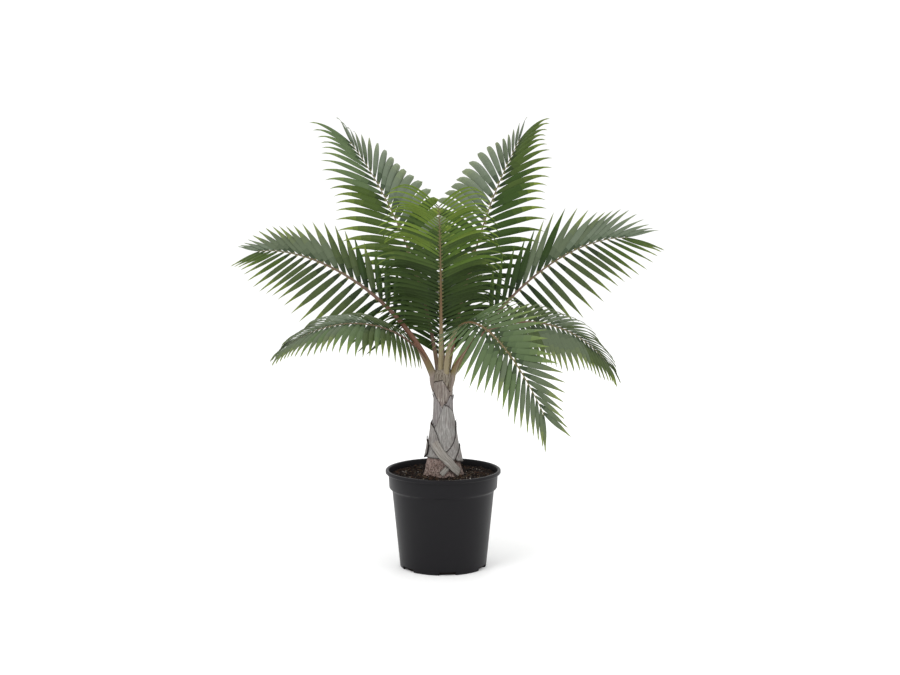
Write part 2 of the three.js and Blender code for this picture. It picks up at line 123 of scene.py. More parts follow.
def grooves(angle: np.ndarray, height: np.ndarray, seed: int, finest: int = 90) -> np.ndarray:
    """Sums upright ridges round the stem: sin(n angle + phase + drift height) for seeded whole n.

    Args:
        angle: Angles round the stem in radians.
        height: Heights in metres.
        seed: Chooses the ridges.
        finest: The largest number of ridges round the stem.

    Returns:
        One number for each place, about -1 to 1.
    """
    rng = np.random.default_rng(seed)
    counts = rng.integers(9, finest, 16)
    drift = rng.normal(0, 28, 16)
    phase = rng.uniform(0, 2 * np.pi, 16)
    waves = np.sin(angle[..., None] * counts + phase + height[..., None] * drift)
    return waves.sum(axis=-1) / 4


# Meshes


@dataclass
class Surface:
    """A mesh in arrays: points, faces grouped by their number of corners, and what they carry.

    Attributes:
        points: The places of its vertices, shaped (vertices, 3).
        faces: Arrays of vertex numbers, each shaped (faces, corners).
        uv: A pair of numbers for each vertex, or None.
        edge: How near each vertex is to a torn or cut edge, from 0 to 1, or None; sheath finishes lay painted
            shadow by it.
        slots: The material number of each face, in the order of faces, or None.
    """

    points: np.ndarray
    faces: list[np.ndarray]
    uv: np.ndarray | None = None
    edge: np.ndarray | None = None
    slots: np.ndarray | None = None

    def volume(self) -> float:
        """Gives the signed volume: a sixth of the sum of a . (b x c) over the faces' fans.

        Returns:
            Cubic metres, below 0 where the faces point inwards.
        """
        total = 0.0
        for faces in self.faces:
            first = self.points[faces[:, 0]]
            for corner in range(1, faces.shape[1] - 1):
                second = self.points[faces[:, corner]]
                third = self.points[faces[:, corner + 1]]
                total += float(np.einsum("ij,ij->", first, np.cross(second, third)))
        return total / 6

    def facing_out(self) -> "Surface":
        """Turns every face round where the closed surface is inside out.

        Returns:
            The same surface.
        """
        if self.volume() < 0:
            self.faces = [faces[:, ::-1] for faces in self.faces]
        return self

    def piece(
        self, name: str, materials: list[bpy.types.Material], slot: str, sharp: float = 50
    ) -> bpy.types.Object:
        """Makes the object, and lets it ride on the plant's body.

        Args:
            name: The piece's name.
            materials: Its materials, in the order of the face slots.
            slot: The record's material slot that it stands for; it is not used.
            sharp: The angle in degrees past which an edge is sharp.

        Returns:
            The object, at the origin.
        """
        mesh = bpy.data.meshes.new(name)
        corners = np.concatenate([faces.ravel() for faces in self.faces]).astype(np.int32)
        sizes = np.concatenate([np.full(len(faces), faces.shape[1]) for faces in self.faces])
        starts = np.concatenate([[0], np.cumsum(sizes)[:-1]]).astype(np.int32)
        mesh.vertices.add(len(self.points))
        mesh.vertices.foreach_set("co", self.points.astype(np.float32).ravel())
        mesh.loops.add(len(corners))
        mesh.loops.foreach_set("vertex_index", corners)
        mesh.polygons.add(len(starts))
        mesh.polygons.foreach_set("loop_start", starts)
        if self.slots is not None:
            mesh.polygons.foreach_set("material_index", self.slots.astype(np.int32))
        if self.uv is not None:
            layer = mesh.uv_layers.new(name="UVMap")
            layer.uv.foreach_set("vector", self.uv[corners].astype(np.float32).ravel())
        if self.edge is not None:
            attribute = mesh.attributes.new("edge", "FLOAT", "POINT")
            attribute.data.foreach_set("value", self.edge.astype(np.float32))
        mesh.update(calc_edges=True)
        mesh.shade_smooth()
        mesh.set_sharp_from_angle(angle=math.radians(sharp))
        for material in materials:
            mesh.materials.append(material)
        piece = bpy.data.objects.new(name, mesh)
        bpy.context.scene.collection.objects.link(piece)
        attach(piece, BODY)
        LOG.info("%s: %d vertices, %d faces", name, len(self.points), len(starts))
        return piece


def tube_faces(tubes: int, rings: int, sides: int) -> list[np.ndarray]:
    """Joins points that lie as [tube, ring, side] into closed tubes.

    A wall face joins side i and i + 1 of a ring to the same sides of the next; an end is one face.

    Args:
        tubes: How many tubes there are.
        rings: Rings along a tube.
        sides: Points round a ring.

    Returns:
        The faces of the walls, the feet and the heads.
    """
    start = np.arange(tubes)[:, None, None] * rings * sides
    low = start + np.arange(rings - 1)[None, :, None] * sides
    side = np.arange(sides)[None, None, :]
    after = (side + 1) % sides
    corners = [low + side, low + sides + side, low + sides + after, low + after]
    walls = np.stack(corners, axis=-1).reshape(-1, 4)
    foot = start[:, 0] + np.arange(sides)
    head = foot[:, ::-1] + (rings - 1) * sides
    return [walls, foot, head]


def shell(outer: np.ndarray, inner: np.ndarray, closed: bool) -> Surface:
    """Closes two grids of rows and columns into one body, with walls round their borders.

    Args:
        outer: The outer grid, shaped (rows, columns, 3).
        inner: The inner grid, of the same shape.
        closed: Whether the last column joins the first.

    Returns:
        The closed surface, with its faces turned outwards.
    """
    rows, columns = outer.shape[:2]
    number = np.arange(rows * columns).reshape(rows, columns)
    under = number + rows * columns
    wrapped = [0] if closed else []
    front = np.hstack([number, number[:, wrapped]])
    back = np.hstack([under, under[:, wrapped]])

    def strip(a: np.ndarray, b: np.ndarray) -> np.ndarray:
        """Joins two lines of points by a row of faces."""
        return np.stack([a[:-1], a[1:], b[1:], b[:-1]], axis=-1)

    faces = [strip(front[row], front[row + 1]) for row in range(rows - 1)]
    faces += [strip(back[row + 1], back[row]) for row in range(rows - 1)]
    faces += [strip(front[-1], back[-1]), strip(back[0], front[0])]
    if not closed:
        faces += [strip(back[:, 0], front[:, 0]), strip(front[:, -1], back[:, -1])]
    points = np.concatenate([outer.reshape(-1, 3), inner.reshape(-1, 3)])
    return Surface(points, [np.concatenate(faces)]).facing_out()


def polar(radius: np.ndarray, height: np.ndarray, angle: np.ndarray) -> np.ndarray:
    """Places points round the upright axis; angle 0 faces the viewer, and more turns to the right."""
    radius, height, angle = np.broadcast_arrays(radius, height, angle)
    return np.stack([radius * np.sin(angle), -radius * np.cos(angle), height], axis=-1)


def capped(rings: np.ndarray, foot: float, head: float) -> Surface:
    """Closes rings of points round the upright axis with a middle point at each end.

    Args:
        rings: Points shaped (rings, sides, 3), with the first and last ring next to the ends.
        foot: The height of the middle point before the first ring.
        head: The height of the middle point after the last ring.

    Returns:
        The closed surface, with its faces turned outwards.
    """
    count, sides = rings.shape[:2]
    walls = tube_faces(1, count, sides)[0]
    side = np.arange(sides)
    after = (side + 1) % sides
    middle = count * sides
    last = (count - 1) * sides
    low = np.stack([np.full(sides, middle), side, after], axis=-1)
    high = np.stack([np.full(sides, middle + 1), last + after, last + side], axis=-1)
    ends = [[0, 0, foot], [0, 0, head]]
    return Surface(np.concatenate([rings.reshape(-1, 3), ends]), [walls, low, high]).facing_out()


def strands(paths: np.ndarray, radius: np.ndarray, sides: int = 3) -> Surface:
    """Carries a small ring along many paths at once: centre + p cos(a) r + q sin(a) r.

    Args:
        paths: Places shaped (strands, stations, 3).
        radius: Half the thickness, shaped (strands, stations).
        sides: Points round a ring.

    Returns:
        The joined strands.
    """
    heading = unit(np.gradient(paths, axis=1))
    reference = np.array([0.31, 0.17, 0.93])
    p = unit(np.cross(heading, reference))
    q = np.cross(p, heading)
    turn = np.arange(sides) / sides * 2 * np.pi
    ring = p[:, :, None] * np.cos(turn)[:, None] + q[:, :, None] * np.sin(turn)[:, None]
    points = paths[:, :, None] + ring * radius[:, :, None, None]
    return Surface(points.reshape(-1, 3), tube_faces(*points.shape[:3])).facing_out()


# Finishes


class Wiring:
    """A new material with a Principled shader, and short ways to lay and join its nodes."""

    def __init__(self, name: str, roughness: float, specular: float = 0.5) -> None:
        """Starts the material with what is the same all over its surface.

        Args:
            name: The material's name.
            roughness: From 0, polished, to 1, dull.
            specular: How strongly it shines, with 0.5 for most things.
        """
        self.material = bpy.data.materials.new(name)
        self.material.use_nodes = True
        self.tree = self.material.node_tree
        self.shader = self.tree.nodes["Principled BSDF"]
        self.shader.inputs["Roughness"].default_value = roughness
        self.shader.inputs["Specular IOR Level"].default_value = specular

    def node(self, kind: str, **values: object) -> bpy.types.Node:
        """Adds a node and sets its inputs.

        Args:
            kind: The node's type.
            values: A value for each input by its name, with _ for a space.

        Returns:
            The node.
        """
        node = self.tree.nodes.new(kind)
        for name, value in values.items():
            node.inputs[name.replace("_", " ")].default_value = value
        return node

    def join(self, source: bpy.types.NodeSocket, target: bpy.types.NodeSocket) -> None:
        """Joins an output to an input."""
        self.tree.links.new(source, target)

    def place(self, stretch: Triple = (1, 1, 1)) -> bpy.types.NodeSocket:
        """Gives the piece's own coordinates.

        Args:
            stretch: The factor on each axis.

        Returns:
            The output with the coordinates.
        """
        mapping = self.node("ShaderNodeMapping", Scale=stretch)
        self.join(self.node("ShaderNodeTexCoord").outputs["Object"], mapping.inputs["Vector"])
        return mapping.outputs["Vector"]

    def flat(self, stretch: Triple = (1, 1, 1)) -> bpy.types.NodeSocket:
        """Gives the piece's UV map.

        Args:
            stretch: The factor on each axis.

        Returns:
            The output with the coordinates.
        """
        mapping = self.node("ShaderNodeMapping", Scale=stretch)
        self.join(self.node("ShaderNodeUVMap").outputs["UV"], mapping.inputs["Vector"])
        return mapping.outputs["Vector"]

    def noise(
        self, place: bpy.types.NodeSocket, scale: float, detail: float = 4, rough: float = 0.55
    ) -> bpy.types.NodeSocket:
        """Gives cloudy noise at a place.

        Args:
            place: The coordinates at which it is read.
            scale: How many clouds lie along one unit of them.
            detail: How many finer layers are added.
            rough: How strong each finer layer is beside the one before it.

        Returns:
            The output, from 0 to 1.
        """
        node = self.node("ShaderNodeTexNoise", Scale=scale, Detail=detail, Roughness=rough)
        self.join(place, node.inputs["Vector"])
        return node.outputs["Fac"]

    def ramp(
        self, value: bpy.types.NodeSocket, stops: tuple[tuple[float, Colour], ...]
    ) -> bpy.types.NodeSocket:
        """Turns a value into a colour.

        Args:
            value: The output that is read.
            stops: Values from 0 to 1, each with its colour.

        Returns:
            The output with the colour.
        """
        node = self.node("ShaderNodeValToRGB")
        elements = node.color_ramp.elements
        while len(elements) < len(stops):
            elements.new(0.5)
        for element, (place, colour) in zip(elements, stops):
            element.position = place
            element.color = linear(colour)
        self.join(value, node.inputs["Fac"])
        return node.outputs["Color"]

    def mix(
        self,
        share: bpy.types.NodeSocket,
        first: bpy.types.NodeSocket | Colour,
        second: bpy.types.NodeSocket | Colour,
    ) -> bpy.types.NodeSocket:
        """Mixes two colours.

        Args:
            share: The output that tells how much of the second is taken.
            first: A colour, or an output with one.
            second: A colour, or an output with one.

        Returns:
            The output with the mixed colour.
        """
        node = self.tree.nodes.new("ShaderNodeMix")
        node.data_type = "RGBA"
        self.join(share, node.inputs[0])
        for value, socket in ((first, node.inputs[6]), (second, node.inputs[7])):
            if isinstance(value, tuple):
                socket.default_value = linear(value)
            else:
                self.join(value, socket)
        return node.outputs[2]

    def attribute(self, name: str) -> bpy.types.NodeSocket:
        """Gives the piece's own attribute.

        Args:
            name: The attribute's name.

        Returns:
            The output with its value.
        """
        node = self.tree.nodes.new("ShaderNodeAttribute")
        node.attribute_name = name
        return node.outputs["Fac"]

    def colour(self, source: bpy.types.NodeSocket) -> None:
        """Joins a colour to the shader."""
        self.join(source, self.shader.inputs["Base Color"])

    def bump(self, height: bpy.types.NodeSocket, strength: float, distance: float) -> None:
        """Raises the surface by a height.

        Args:
            height: The output that is read, from 0 to 1.
            strength: How much of the relief shows.
            distance: How far a height of 1 is raised, in metres.
        """
        node = self.node("ShaderNodeBump", Strength=strength, Distance=distance)
        self.join(height, node.inputs["Height"])
        self.join(node.outputs["Normal"], self.shader.inputs["Normal"])


@dataclass(frozen=True)
class PlainFinish:
    """One colour all over."""

    name: str
    colour: Colour
    roughness: float = 0.5
    specular: float = 0.4

    def material(self) -> bpy.types.Material:
        """Makes the material.

        Returns:
            The material, the same all over.
        """
        wiring = Wiring(self.name, self.roughness, self.specular)
        wiring.shader.inputs["Base Color"].default_value = linear(self.colour)
        return wiring.material


@dataclass(frozen=True)
class LeafTone:
    """The colours along a leaflet, dealt out as plain tones from its root to its tip.

    Attributes:
        under: The colour towards which the lower side is blended.
        neck: The colour of its first stretch, next to the stalk.
        steps: How many tones each side has.
        stops: Where the root's colour, the start and end of the middle's, and the tip's lie.
    """

    name: str
    root: Colour
    middle: Colour
    tip: Colour
    under: Colour
    neck: Colour = (92, 92, 58)
    steps: int = 7
    stops: tuple[float, ...] = (0.0, 0.26, 0.58, 1.0)

    def colour(self, share: float) -> Colour:
        """Gives the upper side's colour at a share of the length."""
        keys = np.array([self.root, self.middle, self.middle, self.tip], float)
        return tuple(int(round(np.interp(share, self.stops, keys[:, k]))) for k in range(3))

    @cache
    def materials(self) -> tuple[bpy.types.Material, ...]:
        """Makes the neck's tone, then the upper side's tones, then the lower side's, root to tip.

        Returns:
            The materials: one for the neck, and one for each step of each side.
        """
        shares = [(step + 0.5) / self.steps for step in range(self.steps)]
        upper = [self.colour(share) for share in shares]
        lower = [blend(colour, self.under, 0.6) for colour in upper]
        tones = [self.neck, *upper, *lower]
        # The leaves' shine is kept low, and the grey-green tones carry a painted sheen in its place.
        return tuple(
            PlainFinish(f"leaf_{self.name}_{number}", tone, 0.5, 0.18).material()
            for number, tone in enumerate(tones)
        )


SHEATH_GREY: Colour = (122, 110, 101)


@dataclass(frozen=True)
class StalkFinish:
    """A leaf stalk: its colours from the crown to the frond's end, with a paler lower side.

    Attributes:
        sleeve: Its colour where it comes out of the sheath, then foot, middle and end.
        belly: The colour of its lower side near the foot.
    """

    name: str
    sleeve: Colour
    foot: Colour
    middle: Colour
    end: Colour
    belly: Colour

    def material(self) -> bpy.types.Material:
        """Makes the material from the UV map: first along the stalk, then from belly to back.

        Returns:
            The material, with dark streaks along the stalk.
        """
        wiring = Wiring(f"stalk_{self.name}", 0.42, 0.45)
        parts = wiring.node("ShaderNodeSeparateXYZ")
        wiring.join(wiring.flat(), parts.inputs[0])
        along = wiring.ramp(
            parts.outputs["X"],
            ((0.0, SHEATH_GREY), (0.03, self.sleeve), (0.1, self.foot), (0.4, self.middle), (1.0, self.end)),
        )
        flank = wiring.ramp(parts.outputs["Y"], ((0.12, (255, 255, 255)), (0.62, (0, 0, 0))))
        streaks = wiring.noise(wiring.place((1, 1, 0.25)), 260, 3)
        strength = wiring.ramp(parts.outputs["X"], ((0.1, (255, 255, 255)), (0.32, (46, 46, 46))))
        body = wiring.mix(strength, along, wiring.mix(flank, along, self.belly))
        dark = wiring.mix(streaks, body, blend(self.foot, (30, 22, 16), 0.5))
        share = wiring.ramp(streaks, ((0.45, (0, 0, 0)), (0.75, (110, 110, 110))))
        wiring.colour(wiring.mix(share, body, dark))
        wiring.bump(streaks, 0.25, 0.0006)
        return wiring.material


class Weave(Enum):
    """What a fibrous finish follows: the stem's upright, or the piece's own UV map."""

    UPRIGHT = "upright"
    ALONG = "along"


@dataclass(frozen=True)
class SheathFinish:
    """An old leaf sheath: weathered grey with fine fibres, mauve and brown stains and painted shadow along
    its edges.

    Attributes:
        light: The colour of the fibres that catch the light, and dark that between them.
        stain: The colour of its broad stains.
        rim: The colour of its flecks, and of the painted shadow along its edges.
        weave: What its fibres follow.
    """

    name: str
    light: Colour
    dark: Colour
    stain: Colour
    rim: Colour
    weave: Weave = Weave.UPRIGHT

    def material(self) -> bpy.types.Material:
        """Lays down fibres, then stains by a broad cloud, dark flecks, and painted shadow in the rim colour
        by the edge value.

        Returns:
            The material.
        """
        wiring = Wiring(self.name, 0.82, 0.25)
        upright = self.weave is Weave.UPRIGHT
        fibre_place = wiring.place((1, 1, 0.07)) if upright else wiring.flat((1, 0.06, 1))
        fibres = wiring.noise(fibre_place, 480, 4, 0.6)
        cloud = wiring.noise(wiring.place(), 70, 5, 0.6)
        fleck = wiring.noise(wiring.place(), 520, 3, 0.7)
        grey = wiring.ramp(
            fibres, ((0.3, self.dark), (0.52, self.light), (0.75, blend(self.light, (214, 210, 204), 0.5)))
        )
        stained = wiring.mix(
            wiring.ramp(cloud, ((0.5, (0, 0, 0)), (0.72, (190, 190, 190)))), grey, self.stain
        )
        flecked = wiring.mix(
            wiring.ramp(fleck, ((0.6, (0, 0, 0)), (0.72, (150, 150, 150)))), stained, self.rim
        )
        # Painted shadow: the rim colour is laid along the edges by the edge value.
        wiring.colour(wiring.mix(wiring.attribute("edge"), flecked, self.rim))
        wiring.bump(fibres, 0.6, 0.0007)
        return wiring.material


@dataclass(frozen=True)
class BarkFinish:
    """The bare stem: pinkish brown, more flecked towards the compost and fibrous grey in the crown.

    Attributes:
        light: The foot's lighter tone, dark its darker one and fleck that of its warts.
        fibre: The crown's lighter tone, and seam its darker one.
    """

    name: str
    light: Colour
    dark: Colour
    fleck: Colour
    fibre: Colour
    seam: Colour

    def material(self) -> bpy.types.Material:
        """Changes by height from the foot's cracked bark to the flecked bark and the crown's fibres.

        Returns:
            The material.
        """
        wiring = Wiring(self.name, 0.88, 0.2)
        grain = wiring.noise(wiring.place((1, 1, 0.5)), 240, 6, 0.7)
        fleck = wiring.noise(wiring.place((1, 1, 0.8)), 330, 5, 0.72)
        body = wiring.ramp(grain, ((0.34, self.dark), (0.62, self.light)))
        share = wiring.ramp(fleck, ((0.53, (0, 0, 0)), (0.6, (235, 235, 235))))
        crack = wiring.ramp(fleck, ((0.47, (0, 0, 0)), (0.55, (225, 225, 225))))
        parts = wiring.node("ShaderNodeSeparateXYZ")
        wiring.join(wiring.place(), parts.inputs[0])
        low = wiring.ramp(parts.outputs["Z"], ((0.236, (255, 255, 255)), (0.262, (0, 0, 0))))
        foot = wiring.mix(wiring.mix(low, share, crack), body, self.fleck)
        streaks = wiring.noise(wiring.place((1, 1, 0.06)), 420, 4, 0.6)
        crown = wiring.ramp(streaks, ((0.36, self.seam), (0.52, self.fibre)))
        high = wiring.ramp(parts.outputs["Z"], ((0.34, (0, 0, 0)), (0.36, (255, 255, 255))))
        wiring.colour(wiring.mix(high, foot, crown))
        wiring.bump(grain, 0.8, 0.0012)
        return wiring.material


@dataclass(frozen=True)
class PlasticFinish:
    """Moulded matt plastic with a faint grain and a little dust."""

    name: str
    colour: Colour
    dust: Colour

    def material(self) -> bpy.types.Material:
        """Lays faint dust over the plastic by a broad cloud.

        Returns:
            The material.
        """
        wiring = Wiring(self.name, 0.42, 0.16)
        cloud = wiring.noise(wiring.place(), 26, 5, 0.6)
        grain = wiring.noise(wiring.place(), 1500, 2)
        share = wiring.ramp(cloud, ((0.45, (0, 0, 0)), (0.8, (90, 90, 90))))
        wiring.colour(wiring.mix(share, self.colour, self.dust))
        wiring.bump(grain, 0.12, 0.0003)
        return wiring.material


# Pot


@dataclass
class Pot:
    """The nursery pot: a thin tapered wall with a collar, a rolled lip and slots round its foot.

    Attributes:
        heel: The rounding where the underside meets the wall.
        lip_height: How far the lip's outer band comes down.
        lip_bead: The height of the lip's round top, whose inner side lies lip_inset off the collar.
        shoulder_round: The soft edge under the collar, as places out and up from the shoulder.
        collar_round: The one at the collar's foot, from the collar.
        ledge_round: The one under the lip, from the collar and the lip's foot.
        band_round: The one at the lip's foot, from its outer side.
        slot_reach: How near the middle a slot comes.
        first_slot: The angle of a slot's middle in degrees.
        slot_cells: How many columns a slot takes, and wall_cells the wall between two.
    """

    wall: float = 0.002
    heel: float = 0.003
    base_radius: float = 0.1015
    shoulder_radius: float = 0.1195
    shoulder_height: float = 0.183
    collar_radius: float = 0.1265
    collar_height: float = 0.189
    lip_height: float = 0.009
    lip_bead: float = 0.003
    lip_inset: float = 0.001
    shoulder_round: Table = ((-0.0004, -0.004), (0.0002, -0.0008), (0.002, 0.0012))
    collar_round: Table = ((-0.0012, -0.0016), (0, 0.0004))
    ledge_round: Table = ((0.0018, -0.0012), (0.0030, 0))
    band_round: Table = ((-0.0014, 0.0002), (0, 0.0018))
    slots: int = 6
    slot_width: float = 0.040
    slot_height: float = 0.008
    slot_reach: float = 0.092
    first_slot: float = 6.0
    slot_cells: int = 8
    wall_cells: int = 22
    finish: PlasticFinish = PlasticFinish("pot_plastic", (19, 18, 21), (31, 30, 33))

    def __post_init__(self) -> None:
        """Reads the height and the lip's radius from the frame."""
        self.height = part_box("pot")[1].z
        self.lip_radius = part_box("pot")[1].x

    def profile(self) -> tuple[np.ndarray, int, int]:
        """Gives the section from the middle of the underside, out, up, over the lip and back inside.

        Returns:
            Pairs of radius and height, then how many of them at the start and at the end lie
            within a slot.
        """
        slope = (self.shoulder_radius - self.base_radius) / (self.shoulder_height - self.heel)
        slot_radius = self.base_radius + (self.slot_height - self.heel) * slope
        foot = self.height - self.lip_height
        inner = self.collar_radius + self.lip_inset
        round_corner = np.radians(np.linspace(0, 90, 5))
        heel_x = self.base_radius - self.heel + self.heel * np.sin(round_corner)
        heel_z = self.heel - self.heel * np.cos(round_corner)
        outer_foot = [(self.slot_reach, 0), *zip(heel_x, heel_z), (slot_radius, self.slot_height)]
        bead = np.radians(np.linspace(0, 180, 13))
        half = (self.lip_radius - inner) / 2
        crown_x = inner + half + half * np.cos(bead)
        crown_z = self.height - self.lip_bead + self.lip_bead * np.sin(bead)
        rounds = (
            (self.shoulder_radius, self.shoulder_height, self.shoulder_round),
            (self.collar_radius, self.collar_height, self.collar_round),
            (self.collar_radius, foot, self.ledge_round),
            (self.lip_radius, foot, self.band_round),
        )
        outside = [(x + out, z + up) for x, z, steps in rounds for out, up in steps]
        inside = [
            (self.collar_radius, foot),
            (self.collar_radius - self.wall, self.collar_height + self.wall),
            (self.shoulder_radius - self.wall, self.shoulder_height + self.wall),
        ]
        inner_foot = [
            (slot_radius - self.wall, self.slot_height),
            (self.base_radius - self.wall, self.wall + self.heel),
            (self.base_radius - self.wall - self.heel, self.wall),
            (self.slot_reach, self.wall),
        ]
        rows = [*outer_foot, *outside, *zip(crown_x, crown_z), *inside, *inner_foot]
        return np.array(rows), len(outer_foot), len(inner_foot)

    def surface(self) -> Surface:
        """Turns the section round the axis: (r sin a, -r cos a, z); the slots' cells are left open.

        The walls of a slot are one face at each side, and a strip over it and at its back.

        Returns:
            The closed surface.
        """
        profile, outer_rows, inner_rows = self.profile()
        half = math.degrees(math.asin(self.slot_width / 2 / self.base_radius))
        pitch = 360 / self.slots
        slot = np.linspace(-half, half, self.slot_cells, endpoint=False)
        plain = np.linspace(half, pitch - half, self.wall_cells, endpoint=False)
        one = np.concatenate([slot, plain])
        angles = np.radians((self.first_slot + one + pitch * np.arange(self.slots)[:, None]).ravel())
        columns = len(angles)
        rows = len(profile)
        points = polar(profile[:, :1], profile[:, 1:], angles)
        number = np.arange(rows * columns).reshape(rows, columns)
        after = np.roll(number, -1, axis=1)
        cells = np.stack([number[:-1], after[:-1], after[1:], number[1:]], axis=-1)
        in_slot = (np.arange(columns) % len(one)) < self.slot_cells
        band = np.arange(rows - 1)
        low = (band < outer_rows - 1) | (band >= rows - inner_rows)
        walls = cells[~(low[:, None] & in_slot[None, :])]
        top, roof = outer_rows - 1, rows - inner_rows
        ceiling = np.stack([number[top], after[top], after[roof], number[roof]], axis=-1)[in_slot]
        back = np.stack([number[-1], after[-1], after[0], number[0]], axis=-1)[in_slot]
        section = np.concatenate([np.arange(outer_rows), np.arange(rows - inner_rows, rows)])
        starts = np.arange(self.slots) * len(one)
        left = number[section][:, starts].T[:, ::-1]
        right = number[section][:, starts + self.slot_cells].T
        middle = rows * columns
        centre = np.array([[0, 0, 0], [0, 0, self.wall]])
        under = np.stack([np.full(columns, middle), after[0], number[0]], axis=-1)
        floor = np.stack([np.full(columns, middle + 1), number[-1], after[-1]], axis=-1)
        faces = [walls, ceiling, back, left, right, under, floor]
        return Surface(np.concatenate([points.reshape(-1, 3), centre]), faces).facing_out()

    def build(self) -> None:
        """Makes the pot in place of its solid."""
        piece = self.surface().piece("pot_shell", [self.finish.material()], "pot_plastic", 38)
        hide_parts("pot")


# Compost


